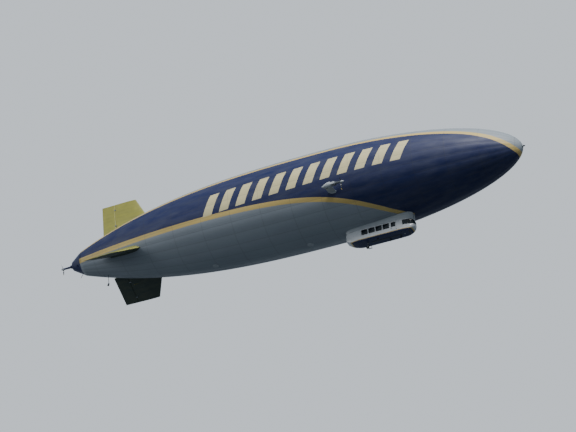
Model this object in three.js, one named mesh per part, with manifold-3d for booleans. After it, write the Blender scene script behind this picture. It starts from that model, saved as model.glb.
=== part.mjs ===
// Semi-rigid advertising airship at half scale, built as one assembly of named pieces.
// Millimetres, +X to the bow, +Y to port, +Z up. The origin is the hull's centre of lift, on its axis.
// A station is a distance aft of the hull's apex, measured along that axis.
import * as THREE from "three";
import { mergeVertices } from "three/addons/utils/BufferGeometryUtils.js";
import Module from "manifold-3d";

const wasm = await Module();
wasm.setup();

const LIFT_STATION = 17180;
const SEAT = 0.3; // gap left between faces that touch
const RUNNING = 6; // gap left beside an edge that moves

const HULL = {
  radius: 3540, foreLength: 14250, foreEdge: 1.95, foreRound: 0.53,
  aftLength: 21750, aftTaper: 0.81, aftCurve: 2.9,
  skin: 10, sides: 48, bow: 500, stern: 35300,
};
const NOSE_STATIONS = [0, 35, 130, 290, HULL.bow];
const HULL_STATIONS = [
  HULL.bow, 900, 1500, 2400, 3700, 5400, 7800, 10800, 14250,
  18200, 21600, 24600, 27300, 29700, 31700, 33600, HULL.stern,
];
const NOSE = { wall: 16, apexWall: 20, cutterBack: 260 };
const VALVES = [{ name: "fore", station: 17000 }, { name: "aft", station: 24600 }];
const CONE = { stern: 36210, radius: 330, wall: 12, backWall: 15, sides: 36 };
const FIN = {
  rootRadius: 1500, tipRadius: 4400, rootBow: 29300, tipBow: 30800, hinge: 32600, stern: 33600,
  rootThick: 360, tipThick: 180, rounding: 40, tipSlim: 0.5, edgeHalf: 8, rudderRoot: 1900, hingeShare: 0.66,
};
const TAB = { radii: [2500, 3900], length: 60, half: 20, halfHeight: 30 }; // the seats of a rudder on its fin
const TAIL_LAMP_STATION = 31600;
const NACELLE = { station: 13300, side: 4200, drop: 1600 };
const STERN_HINGE = 36350;
const SIDE_HEAD = {
  drum: 150, half: 115, boss: 60, neck: 85, tip: 65, reach: 550, clear: 14,
  cheekBack: -330, cheekRound: 95, cheekThick: 42,
};
const STERN_HEAD = {
  drum: 110, half: 92, boss: 50, neck: 75, tip: 58, reach: 700, clear: 12,
  cheekBack: -150, cheekRound: 88, cheekThick: 36,
};
const NECK_START = 40; // where a neck begins inside its drum
const CHEEK_GAP = 10; // from a drum's side to the cheek that carries it
const CAB = {
  bow: 8700, glassEnd: 9580, nose: 9700, tail: 13000, stern: 14050, half: 562, top: -3690, bottom: -4700,
  wall: 30, floorLine: -4585, roofLine: -3762, sill: -4230, lintel: -3830, doorFoot: -4560, doorHead: -3800,
};
const WINDOW = { width: 460, pitch: 560, pane: 8, overlap: 20 };
const WINDSHIELD = { depth: 8, thick: 10 };
const REAR_WINDOW = { half: 210, low: -4120, high: -3880 };
const DOOR = {
  width: 440, hingeOut: 8.3, barrel: 8, barrelHeight: 50, lowHinge: 70, highHinge: 110,
  frame: 60, headFrame: 40, paneFoot: -4200, paneIn: 12,
};

const at = (station) => LIFT_STATION - station;

const finish = (colour, roughness, metalness = 0) => (
  new THREE.MeshStandardMaterial({ color: colour, roughness, metalness })
);
const NAVY = finish(0x12214c, 0.5);
const GOLD = finish(0xd9a92c, 0.5);
const SILVER = finish(0xb9bec4, 0.45);
const DARK = finish(0x23262b, 0.5);
const METAL = finish(0x8d9298, 0.35, 0.9);
const GLASS = finish(0x1b242c, 0.1);
const TYRE = finish(0x17181a, 0.85);
const LEATHER = finish(0x3b4048, 0.7);
const LAMP = finish(0xd8dde0, 0.15);

const ship = new THREE.Group();

// Solids and the meshes made from them.
function solidOf(geometry) {
  const bare = geometry.clone();
  bare.deleteAttribute("normal");
  bare.deleteAttribute("uv");
  const merged = mergeVertices(bare, 1e-3);
  const corners = [];
  for (let i = 0; i < merged.index.count; i += 3) {
    const [a, b, c] = [0, 1, 2].map((k) => merged.index.getX(i + k));
    if (a !== b && b !== c && c !== a) corners.push(a, b, c);
  }
  const vertProperties = Float32Array.from(merged.attributes.position.array);
  const triVerts = Uint32Array.from(corners);
  return new wasm.Manifold(new wasm.Mesh({ numProp: 3, vertProperties, triVerts }));
}

function geometryOf(solid) {
  const { vertProperties, triVerts } = solid.getMesh();
  const geometry = new THREE.BufferGeometry();
  geometry.setAttribute("position", new THREE.BufferAttribute(vertProperties, 3));
  geometry.setIndex(new THREE.BufferAttribute(triVerts, 1));
  geometry.computeVertexNormals();
  return geometry;
}

function add(group, name, solid, material) {
  const mesh = new THREE.Mesh(geometryOf(solid), material);
  mesh.name = name;
  group.add(mesh);
}

const join = (solids) => solids.reduce((whole, solid) => whole.add(solid));

function box(low, high) {
  const size = high.map((value, axis) => value - low[axis]);
  const middle = high.map((value, axis) => (value + low[axis]) / 2);
  return solidOf(new THREE.BoxGeometry(...size)).translate(middle);
}

// A cylinder along one of the axes "x", "y" or "z", from one place on it to another.
function rod(axis, from, to, radius, sides = 24, endRadius = radius) {
  const geometry = new THREE.CylinderGeometry(endRadius, radius, to - from, sides);
  geometry.translate(0, (from + to) / 2, 0);
  if (axis === "x") geometry.rotateZ(-Math.PI / 2);
  if (axis === "z") geometry.rotateX(Math.PI / 2);
  return solidOf(geometry);
}

// Turns an outline of [radius, height] points about +Z.
function turned(outline, sides) {
  const points = outline.map(([radius, height]) => new THREE.Vector2(radius, height));
  points.push(points[0].clone());
  if (THREE.ShapeUtils.isClockWise(points)) points.reverse();
  return solidOf(new THREE.LatheGeometry(points, sides)).rotate([90, 0, 0]);
}

// The same outline about the ship's axis, with each height given as a station.
function turnedOnAxis(outline, sides = HULL.sides) {
  return turned(outline.map(([radius, station]) => [radius, at(station)]), sides).rotate([0, 90, 0]);
}

// Joins rings of equal point counts, in order, and caps both ends.
function loft(rings) {
  const count = rings[0].length;
  const index = [];
  for (let ring = 0; ring < rings.length - 1; ring += 1) {
    for (let i = 0; i < count; i += 1) {
      const a = ring * count + i;
      const b = ring * count + ((i + 1) % count);
      index.push(a, b, a + count, b, b + count, a + count);
    }
  }
  const last = (rings.length - 1) * count;
  for (let i = 1; i < count - 1; i += 1) index.push(0, i + 1, i, last, last + i, last + i + 1);
  const points = rings.flat().map((point) => new THREE.Vector3(...point));
  const volume = index.reduce((sum, corner, k) => (
    k % 3 ? sum : sum + points[corner].clone().cross(points[index[k + 1]]).dot(points[index[k + 2]])
  ), 0);
  if (volume < 0) index.reverse();
  const geometry = new THREE.BufferGeometry().setFromPoints(points);
  geometry.setIndex(index);
  return solidOf(geometry);
}

// An upright ellipse across the ship at x, between two heights.
function ellipseRing(x, half, top, bottom, count = 16) {
  return Array.from({ length: count }, (_, i) => {
    const turn = (i / count) * 2 * Math.PI;
    return [x, half * Math.cos(turn), (top + bottom) / 2 + ((top - bottom) / 2) * Math.sin(turn)];
  });
}

// A rectangle across the ship at x with rounded corners, each of them an arc.
function roundedRing(x, half, top, bottom, radius, steps = 4) {
  const corners = [[1, 1, 0], [-1, 1, 90], [-1, -1, 180], [1, -1, 270]];
  return corners.flatMap(([side, rise, start]) => Array.from({ length: steps + 1 }, (_, i) => {
    const turn = THREE.MathUtils.degToRad(start + (90 * i) / steps);
    const corner = rise > 0 ? top - radius : bottom + radius;
    return [x, side * (half - radius) + radius * Math.cos(turn), corner + radius * Math.sin(turn)];
  }));
}

// Hull
function hullRadius(station) {
  if (station < HULL.foreLength) {
    const ahead = 1 - station / HULL.foreLength;
    return HULL.radius * (1 - ahead ** HULL.foreEdge) ** HULL.foreRound;
  }
  const astern = (station - HULL.foreLength) / HULL.aftLength;
  return HULL.radius * (1 - HULL.aftTaper * astern ** HULL.aftCurve);
}

// The hull's outline moved in by a depth, square to the skin.
function hullOutline(stations, depth) {
  const step = 1;
  return stations.map((station) => {
    const slope = (hullRadius(station + step) - hullRadius(station)) / step;
    const length = Math.hypot(slope, 1);
    return [hullRadius(station) - depth / length, station + (depth * slope) / length];
  });
}

function solidHull(stations, grow) {
  const outer = hullOutline(stations, -grow);
  return turnedOnAxis([[0, outer[0][1]], ...outer, [0, outer[outer.length - 1][1]]]);
}

const hullCutter = solidHull(HULL_STATIONS, SEAT);

// Columns: radius, station.
const PROBE_OUTLINE = [
  [0, -200], [35, -200], [35, -150], [62, -130], [62, -60], [90, -30], [150, -8], [150, 30], [0, 30],
];

// Columns: radius, height above the hull's keel or crown line.
const VALVE_OUTLINE = [[0, -36], [190, -36], [230, -18], [230, 204], [0, 204]];
const BEACON_OUTLINE = [[0, 50], [22, 44], [34, 26], [40, 0], [40, -60], [0, -60]];

function addHull() {
  const outer = hullOutline(HULL_STATIONS, 0);
  const inner = hullOutline(HULL_STATIONS, HULL.skin).reverse();
  add(ship, "envelope", turnedOnAxis([...outer, ...inner]), NAVY);

  const rim = HULL.bow - SEAT * 2;
  const shell = NOSE_STATIONS.slice(1, -1).map((station) => [hullRadius(station), station]);
  const inside = NOSE_STATIONS.slice(2, -1).map((station) => [hullRadius(station) - NOSE.wall, station]);
  add(ship, "nose_cone", turnedOnAxis([
    [0, 0], ...shell, [hullRadius(rim), rim],
    [hullRadius(rim) - HULL.skin, rim], ...inside.reverse(), [0, NOSE.apexWall],
  ]), NAVY);

  const clearNose = shell.map(([radius, station]) => [radius + SEAT, station - SEAT]);
  const solidNose = turnedOnAxis([[0, -SEAT], ...clearNose, [0, NOSE.cutterBack]]);
  add(ship, "mooring_probe", turnedOnAxis(PROBE_OUTLINE, 30).subtract(solidNose), METAL);

  for (const { name, station } of VALVES) {
    const valve = turned(VALVE_OUTLINE, 30).translate([at(station), 0, -hullRadius(station)]);
    add(ship, `belly_valve_${name}`, valve.subtract(hullCutter), SILVER);
  }
  const beacon = turned(BEACON_OUTLINE, 20).translate([at(HULL.foreLength), 0, HULL.radius]);
  add(ship, "beacon", beacon.subtract(hullCutter), LAMP);
}

// Tail
function finShape(radius) {
  const share = (radius - FIN.rootRadius) / (FIN.tipRadius - FIN.rootRadius);
  return {
    bow: THREE.MathUtils.lerp(FIN.rootBow, FIN.tipBow, share),
    thick: THREE.MathUtils.lerp(FIN.rootThick, FIN.tipThick, share),
  };
}

const rudderNose = (radius) => (finShape(radius).thick * FIN.hingeShare) / 2;

// Share of the fin's chord, and of its thickness, from its edge to its widest place.
const FIN_SIDE = [[0, 0], [0.03, 0.22], [0.14, 0.4], [0.4, 0.5]];

function finRing(radius, slim = 1) {
  const { bow, thick } = finShape(radius);
  const stern = FIN.hinge - rudderNose(radius) - RUNNING;
  const side = [...FIN_SIDE, [1, FIN.hingeShare / 2]];
  const half = side.map(([chord, width]) => [at(bow + chord * (stern - bow)), width * thick * slim, radius]);
  return [...half, ...half.slice(1).reverse().map(([x, y, z]) => [x, -y, z])];
}

function rudderRing(radius, slim = 1) {
  const nose = rudderNose(radius) * slim;
  const arc = [90, 60, 30, 0, -30, -60, -90].map((degrees) => {
    const turn = THREE.MathUtils.degToRad(degrees);
    return [at(FIN.hinge) + nose * Math.cos(turn), nose * Math.sin(turn), radius];
  });
  return [...arc, [at(FIN.stern), -FIN.edgeHalf, radius], [at(FIN.stern), FIN.edgeHalf, radius]];
}

// Columns: radius, height above its seat.
const TAIL_LAMP_OUTLINE = [[0, 36], [14, 31], [22, 14], [22, 0], [0, 0]];

function addTail() {
  const tip = FIN.tipRadius;
  const surface = (ring, root) => loft([ring(root), ring(tip - FIN.rounding), ring(tip, FIN.tipSlim)]);
  const tabs = TAB.radii.map((radius) => {
    const [low, high] = [radius - TAB.halfHeight, radius + TAB.halfHeight];
    const face = at(FIN.hinge) + rudderNose(low) + SEAT;
    return box([face, -TAB.half, low], [face + TAB.length, TAB.half, high]);
  });
  for (const [name, turn] of [["top", 0], ["port", -120], ["starboard", 120]]) {
    const group = new THREE.Group();
    group.rotation.x = THREE.MathUtils.degToRad(turn);
    ship.add(group);
    const fin = join([surface(finRing, FIN.rootRadius), ...tabs]);
    add(group, `fin_${name}`, fin.subtract(hullCutter), GOLD);
    add(group, `rudder_${name}`, surface(rudderRing, FIN.rudderRoot), GOLD);
  }
  const lamp = turned(TAIL_LAMP_OUTLINE, 16);
  add(ship, "tail_lamp", lamp.translate([at(TAIL_LAMP_STATION), 0, FIN.tipRadius + SEAT]), LAMP);
}

// Propellers
// Shares of the radius: place along the blade, chord, thickness; and the blade's pitch in degrees.
const BLADE = [[0.08, 0.12, 0.08, 58], [0.32, 0.17, 0.035, 40], [0.7, 0.15, 0.02, 25], [1, 0.07, 0.01, 17]];
// Shares of the chord and of the thickness, round a blade's section.
const BLADE_SECTION = [[-0.5, 0], [-0.3, -0.42], [0.1, -0.5], [0.5, 0], [0.1, 0.5], [-0.3, 0.42]];
// Shares of the spinner's radius, from its tip to its foot: radius, height above the blades' plane.
const SPINNER_OUTLINE = [[0, 2.1], [0.35, 1.9], [0.75, 1.2], [1, 0.3], [1, -0.55]];
const SPINNER_FOOT = 0.55;
const SHAFT = 40;

// Spins about +Z with its spinner upwards; the blades stand in the plane of z = 0.
function propeller(radius, spinner) {
  const blade = loft(BLADE.map(([place, chord, thick, pitch]) => {
    const turn = THREE.MathUtils.degToRad(pitch);
    const [cos, sin] = [Math.cos(turn), Math.sin(turn)];
    return BLADE_SECTION.map(([along, across]) => {
      const [u, v] = [along * chord * radius, across * thick * radius];
      return [place * radius, u * cos - v * sin, u * sin + v * cos];
    });
  }));
  const foot = -spinner * SPINNER_FOOT;
  const hub = turned([
    ...SPINNER_OUTLINE.map(([across, up]) => [across * spinner, up * spinner]),
    [SHAFT, foot], [SHAFT, foot - CHEEK_GAP], [0, foot - CHEEK_GAP],
  ], 24);
  return join([hub, blade, blade.rotate([0, 0, 120]), blade.rotate([0, 0, 240])]);
}

// A drum on a crosswise axis with a neck that reaches forward to the propeller's shaft.
function swivelHead(head, spinner) {
  const drum = rod("y", -head.half, head.half, head.drum, 28);
  const boss = head.half + CHEEK_GAP - SEAT;
  const neckEnd = head.reach - spinner * SPINNER_FOOT - CHEEK_GAP - SEAT;
  const neck = rod("x", NECK_START, neckEnd, head.neck, 24, head.tip);
  return join([drum, rod("y", -boss, boss, head.boss, 20), neck]);
}

// Two cheek plates beside a drum at the origin, from their back to their round front.
function cheeks({ half, cheekBack, cheekRound, cheekThick }) {
  const inner = half + CHEEK_GAP;
  return [-1, 1].flatMap((side) => {
    const [low, high] = [side * inner, side * (inner + cheekThick)].sort((a, b) => a - b);
    const plate = box([cheekBack, low, -cheekRound], [0, high, cheekRound]);
    return [rod("y", low, high, cheekRound, 24), plate];
  });
}

// The space that a drum turns in, between its cheeks.
function drumSpace({ drum, half, clear }) {
  return rod("y", -half - CHEEK_GAP, half + CHEEK_GAP, drum + clear, 28);
}

// Side engines
// Columns: x from the drum's axis, half width, top, bottom.
const NACELLE_SECTIONS = [
  [-178, 112, 40, -92], [-215, 160, 105, -150], [-300, 185, 190, -195], [-480, 190, 205, -215],
  [-700, 158, 125, -190], [-860, 104, 35, -142], [-980, 40, -32, -88],
];
// Columns: x of the strut's section, half its thickness.
const STRUT_SECTION = [[-260, 0], [-285, 30], [-400, 58], [-560, 55], [-840, 3]];
const STRUT = { inNacelle: 40, inHull: 2800 };
const SIDE_SPINNER = 100;
const SIDE_RADIUS = 675;
// The space for the engine, its outlet below and the block itself, as corners from the drum's axis.
const BAY = [[-600, -105, -125], [-260, 105, 85]];
const OUTLET = [[-590, -60, -260], [-480, 60, -100]];
const SIDE_ENGINE = [[-590, -95, -125 + SEAT], [-270, 95, 75]];
const STRUT_FOOT = [[-700, -100, -80], [-300, 100, 80]];
const SIDE_LAMP = { x: -480, side: 190, rise: -5 };
const SIDE_LAMP_OUTLINE = [[0, 26], [12, 22], [18, 10], [18, 0], [0, 0]];

const nacelleBody = (grow) => loft(NACELLE_SECTIONS.map(([x, half, top, bottom]) => (
  ellipseRing(x, half + grow, top + grow, bottom - grow)
)));

function addSideEngine(name, side) {
  const place = [at(NACELLE.station), side * NACELLE.side, -NACELLE.drop];
  const group = new THREE.Group();
  group.position.set(...place);
  ship.add(group);

  const body = join([nacelleBody(0), ...cheeks(SIDE_HEAD)]);
  const spaces = join([box(...BAY), box(...OUTLET), drumSpace(SIDE_HEAD)]);
  add(group, `nacelle_${name}`, body.subtract(spaces), SILVER);
  add(group, `engine_${name}`, box(...SIDE_ENGINE), METAL);

  const ring = (y) => [
    ...STRUT_SECTION.map(([x, half]) => [x, y, half]),
    ...STRUT_SECTION.slice(1).reverse().map(([x, half]) => [x, y, -half]),
  ];
  const strut = loft([ring(-side * STRUT.inNacelle), ring(-side * (NACELLE.side - STRUT.inHull))]);
  const hullHere = hullCutter.translate(place.map((value) => -value));
  const nacelleSolid = join([nacelleBody(SEAT), box(...STRUT_FOOT)]);
  add(group, `pylon_${name}`, strut.subtract(nacelleSolid).subtract(hullHere), SILVER);

  add(group, `swivel_${name}`, swivelHead(SIDE_HEAD, SIDE_SPINNER), DARK);
  const prop = propeller(SIDE_RADIUS, SIDE_SPINNER).rotate([0, 90, 0]);
  add(group, `propeller_${name}`, prop.translate([SIDE_HEAD.reach, 0, 0]), DARK);
  const lamp = turned(SIDE_LAMP_OUTLINE, 16).rotate([-90 * side, 0, 0]);
  const lampPlace = [SIDE_LAMP.x, side * (SIDE_LAMP.side + SEAT), SIDE_LAMP.rise];
  add(group, `lamp_${name}`, lamp.translate(lampPlace), LAMP);
}

// Stern drive
const STERN_SPINNER = 90;
const STERN_RADIUS = 550;
const STERN_ENGINE = { bow: 35500, stern: 35920, half: 170, low: -150, high: 110 };
const SHELF = { beyond: 40, half: 700, thick: 15 };
const LATERAL = { station: 35850, inner: 420, outer: 1060, disc: 1120, root: 95, tip: 70 };

function addStern() {
  const front = HULL.stern + SEAT * 2;
  const radius = hullRadius(HULL.stern);
  const solidCone = (grow) => turnedOnAxis([
    [0, front - grow], [radius + grow, front - grow],
    [CONE.radius + grow, CONE.stern + grow], [0, CONE.stern + grow],
  ], CONE.sides);
  const slope = (radius - CONE.radius) / (CONE.stern - front);
  const ahead = 20;
  const backWall = CONE.stern - CONE.backWall;
  const hollow = turnedOnAxis([
    [0, front - ahead], [radius - CONE.wall + slope * ahead, front - ahead],
    [CONE.radius - CONE.wall + slope * CONE.backWall, backWall], [0, backWall],
  ], CONE.sides);
  const { bow, stern, half, low, high } = STERN_ENGINE;
  const shelf = box(
    [at(stern + SHELF.beyond), -SHELF.half, low - SHELF.thick], [at(bow - SHELF.beyond), SHELF.half, low],
  ).intersect(solidCone(0));
  const hinge = [at(STERN_HINGE), 0, 0];
  const plates = join(cheeks(STERN_HEAD)).rotate([0, 0, 180]).translate(hinge);
  const cone = join([solidCone(0).subtract(hollow), plates, shelf]);
  add(ship, "stern_cone", cone.subtract(drumSpace(STERN_HEAD).translate(hinge)), SILVER);
  add(ship, "stern_engine", box([at(stern), -half, low + SEAT], [at(bow), half, high]), METAL);

  const arm = rod("y", LATERAL.inner, LATERAL.outer, LATERAL.root, 24, LATERAL.tip);
  const placedArm = arm.translate([at(LATERAL.station), 0, 0]);
  add(ship, "lateral_drive", placedArm.subtract(solidCone(SEAT)), SILVER);
  const lateral = propeller(STERN_RADIUS, STERN_SPINNER).rotate([-90, 0, 0]);
  add(ship, "lateral_propeller", lateral.translate([at(LATERAL.station), LATERAL.disc, 0]), DARK);

  const group = new THREE.Group();
  group.position.x = at(STERN_HINGE);
  group.rotation.z = Math.PI;
  ship.add(group);
  add(group, "stern_swivel", swivelHead(STERN_HEAD, STERN_SPINNER), DARK);
  const pusher = propeller(STERN_RADIUS, STERN_SPINNER).rotate([0, 90, 0]);
  add(group, "stern_propeller", pusher.translate([STERN_HEAD.reach, 0, 0]), DARK);
}

// Gondola
// Columns: station, half width, top, bottom, corner radius.
const CAB_SECTIONS = [
  [8700, 190, -3930, -4300, 120], [8800, 330, -3830, -4450, 140], [9050, 460, -3730, -4610, 130],
  [9500, 545, CAB.top, CAB.bottom, 115], [9950, CAB.half, CAB.top, CAB.bottom, 110],
  [12950, CAB.half, CAB.top, CAB.bottom, 110], [13550, 480, CAB.top, -4610, 115],
  [CAB.stern, 330, -3720, -4380, 120],
];

// The cabin's outer form moved in by a depth.
function cabForm(depth) {
  return loft(CAB_SECTIONS.map(([station, half, top, bottom, radius], i) => {
    let x = at(station);
    if (i === 0) x -= depth;
    if (i === CAB_SECTIONS.length - 1) x += depth;
    return roundedRing(x, half - depth, top - depth, bottom + depth, radius - depth);
  }));
}

// A slab of the space around the cabin, between two stations, two sides and two heights.
const slab = (bow, stern, right, left, low, high) => box([at(stern), right, low], [at(bow), left, high]);

const DOORS = [
  { name: "passenger", side: 1, bow: 12340 },
  { name: "crew", side: -1, bow: 10060 },
];
const WINDOW_ROWS = { 1: 10060, "-1": 10620 };
const WINDOWS_PER_SIDE = 4;
const windowEnd = (side) => WINDOW_ROWS[side] + (WINDOWS_PER_SIDE - 1) * WINDOW.pitch + WINDOW.width;

function addCabinShell() {
  const shell = cabForm(0).subtract(cabForm(CAB.wall));
  const wide = 900;
  const [low, high] = [CAB.bottom - 100, CAB.top + 100];
  const [ahead, astern] = [CAB.bow - 50, CAB.stern + 50];
  const noseGlass = slab(ahead, CAB.glassEnd, -wide, wide, CAB.sill, CAB.lintel);
  const nose = slab(ahead, CAB.nose, -wide, wide, low, high).subtract(noseGlass);
  add(ship, "gondola_nose", shell.intersect(nose), NAVY);
  const paneSpace = slab(ahead, CAB.glassEnd - SEAT, -wide, wide, CAB.sill + SEAT, CAB.lintel - SEAT);
  const screen = cabForm(WINDSHIELD.depth).subtract(cabForm(WINDSHIELD.depth + WINDSHIELD.thick));
  add(ship, "windshield", screen.intersect(paneSpace), GLASS);

  const middle = [CAB.nose + SEAT, CAB.tail - SEAT];
  const floor = slab(...middle, -wide, wide, low, CAB.floorLine);
  add(ship, "gondola_floor", shell.intersect(floor), NAVY);
  add(ship, "gondola_roof", shell.intersect(slab(...middle, -wide, wide, CAB.roofLine, high)), SILVER);
  for (const [name, side] of [["port", 1], ["starboard", -1]]) {
    const across = side > 0 ? [10, wide] : [-wide, -10];
    let wall = shell.intersect(slab(...middle, ...across, CAB.floorLine + SEAT, CAB.roofLine - SEAT));
    for (let i = 0; i < WINDOWS_PER_SIDE; i += 1) {
      const bow = WINDOW_ROWS[side] + i * WINDOW.pitch;
      wall = wall.subtract(slab(bow, bow + WINDOW.width, ...across, CAB.sill, CAB.lintel));
    }
    const door = DOORS.find((one) => one.side === side);
    wall = wall.subtract(slab(door.bow, door.bow + DOOR.width, ...across, CAB.doorFoot, CAB.doorHead));
    add(ship, `gondola_wall_${name}`, wall, NAVY);
    const face = CAB.half - CAB.wall - SEAT;
    const pane = side > 0 ? [face - WINDOW.pane, face] : [-face, WINDOW.pane - face];
    const ends = [WINDOW_ROWS[side] - WINDOW.overlap, windowEnd(side) + WINDOW.overlap];
    const glazing = slab(...ends, ...pane, CAB.sill - WINDOW.overlap, CAB.lintel + WINDOW.overlap);
    add(ship, `glazing_${name}`, glazing, GLASS);
  }

  const rear = REAR_WINDOW;
  const tailCut = slab(CAB.stern - 100, astern, -rear.half, rear.half, rear.low, rear.high);
  const tail = slab(CAB.tail, astern, -wide, wide, low, high).subtract(tailCut);
  add(ship, "gondola_tail", shell.intersect(tail), NAVY);
  const paneBack = CAB.stern - WINDSHIELD.depth;
  const paneHalf = rear.half - SEAT;
  const rearPane = slab(
    paneBack - WINDSHIELD.thick, paneBack, -paneHalf, paneHalf, rear.low + SEAT, rear.high - SEAT,
  );
  add(ship, "rear_window", rearPane, GLASS);
}

function addDoor({ name, side, bow }) {
  const leafBow = bow + RUNNING;
  const leafStern = bow + DOOR.width - RUNNING;
  const [foot, head] = [CAB.doorFoot + RUNNING, CAB.doorHead - RUNNING];
  const hole = [leafBow + DOOR.frame, leafStern - DOOR.frame];
  const holeHead = head - DOOR.headFrame;
  const across = (inner, outer) => (side > 0 ? [inner, outer] : [-outer, -inner]);
  const through = across(CAB.half - CAB.wall - 10, CAB.half + 40);
  let leaf = slab(leafBow, leafStern, ...across(CAB.half - CAB.wall, CAB.half), foot, head);
  leaf = leaf.subtract(slab(...hole, ...through, DOOR.paneFoot, holeHead));
  const pin = bow + RUNNING / 2;
  const hinges = [foot + DOOR.lowHinge, head - DOOR.highHinge].flatMap((height) => {
    const top = height + DOOR.barrelHeight;
    const barrel = rod("z", height, top, DOOR.barrel, 16);
    const strap = slab(pin, leafBow + 40, ...across(CAB.half - 4, CAB.half + 5), height, top);
    const wallSpace = slab(bow - 20, leafBow, ...across(CAB.half - 10, CAB.half + SEAT), height - 1, top + 1);
    return [barrel.translate([at(pin), side * (CAB.half + DOOR.hingeOut), 0]), strap.subtract(wallSpace)];
  });
  add(ship, `${name}_door`, join([leaf, ...hinges]), NAVY);
  const paneOut = CAB.half - DOOR.paneIn;
  const pane = across(paneOut - WINDOW.pane, paneOut);
  const glass = slab(hole[0] + SEAT, hole[1] - SEAT, ...pane, DOOR.paneFoot + SEAT, holeHead - SEAT);
  add(ship, `${name}_door_pane`, glass, GLASS);
}

// The fairing that closes the space between the cabin's roof and the hull.
// Columns: station, half width at its foot.
const FAIRING_SECTIONS = [[8850, 250], [9150, 440], [9700, 520], [12950, 520], [13600, 450], [14000, 330]];

function addFairing() {
  const [foot, head, flare] = [CAB.top + SEAT, -3050, 90];
  const rings = FAIRING_SECTIONS.map(([station, half]) => [
    [at(station), half, foot], [at(station), half + flare, head],
    [at(station), -half - flare, head], [at(station), -half, foot],
  ]);
  add(ship, "gondola_fairing", loft(rings).subtract(hullCutter), SILVER);
}

// Cabin furniture
const SEAT_SIZE = { long: 210, wide: 210, base: 40, cushion: 190, back: 520, pad: 60 };
const RAIL = { half: 30, high: 25 };
const PASSENGERS = { side: 375, seats: 5, pitch: 430 };
const PILOTS = { front: 9750, side: 190, stepBow: 9720, stepStern: 9990, stepHalf: 330 };
const FLOOR_TOP = CAB.bottom + CAB.wall + SEAT;

function seatAt(station, y) {
  const { long, wide, base, cushion, back, pad } = SEAT_SIZE;
  const [right, left] = [y - wide / 2, y + wide / 2];
  const [front, rear] = [station, station + long];
  return join([
    slab(front + 60, rear - 20, y - base, y + base, FLOOR_TOP + RAIL.high - 5, FLOOR_TOP + cushion),
    slab(front, rear, right, left, FLOOR_TOP + cushion - pad, FLOOR_TOP + cushion),
    slab(rear - pad, rear, right, left, FLOOR_TOP + cushion - pad, FLOOR_TOP + back),
  ]);
}

function addSeats() {
  // Columns: name, side, station of the first seat's front.
  for (const [name, side, first] of [["port", 1, 10080], ["starboard", -1, 10640]]) {
    const y = side * PASSENGERS.side;
    const fronts = Array.from({ length: PASSENGERS.seats }, (_, i) => first + i * PASSENGERS.pitch);
    const end = fronts[fronts.length - 1] + SEAT_SIZE.long;
    const rail = slab(first, end, y - RAIL.half, y + RAIL.half, FLOOR_TOP, FLOOR_TOP + RAIL.high);
    add(ship, `seats_${name}`, join([rail, ...fronts.map((front) => seatAt(front, y))]), LEATHER);
  }
  const { front, side, stepBow, stepStern, stepHalf } = PILOTS;
  const step = slab(stepBow, stepStern, -stepHalf, stepHalf, FLOOR_TOP, FLOOR_TOP + RAIL.high);
  add(ship, "pilot_seats", join([step, seatAt(front, -side), seatAt(front, side)]), LEATHER);
}

// Columns: distance aft of the console's front, height above the floor.
const CONSOLE_OUTLINE = [[0, 0], [260, 0], [200, 330], [110, 400], [40, 400]];
const CONSOLE = { bow: 9150, half: 280 };

function addConsole() {
  const outline = new THREE.Shape(CONSOLE_OUTLINE.map(([aft, up]) => new THREE.Vector2(-aft, up)));
  const panel = new THREE.ExtrudeGeometry(outline, { depth: CONSOLE.half * 2, bevelEnabled: false });
  const desk = solidOf(panel).rotate([90, 0, 0]).translate([at(CONSOLE.bow), CONSOLE.half, FLOOR_TOP]);
  add(ship, "instrument_console", desk.subtract(outsideCabin()), DARK);
}

// All the space within reach of the cabin that isn't inside its walls.
function outsideCabin() {
  const around = slab(CAB.bow - 200, CAB.stern + 200, -1200, 1200, CAB.bottom - 200, CAB.top + 200);
  return around.subtract(cabForm(CAB.wall + SEAT));
}

// Landing gear
const CASTOR = {
  collarGap: 8, collarTop: 40, aboveWheel: 40, crownHalf: 48, crownThick: 28, armHalf: 45, armTop: 26,
  armThick: 14, eyeHalf: 26, footHalf: 14, footDrop: 24, bore: 10.5, axle: 10,
};

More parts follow.
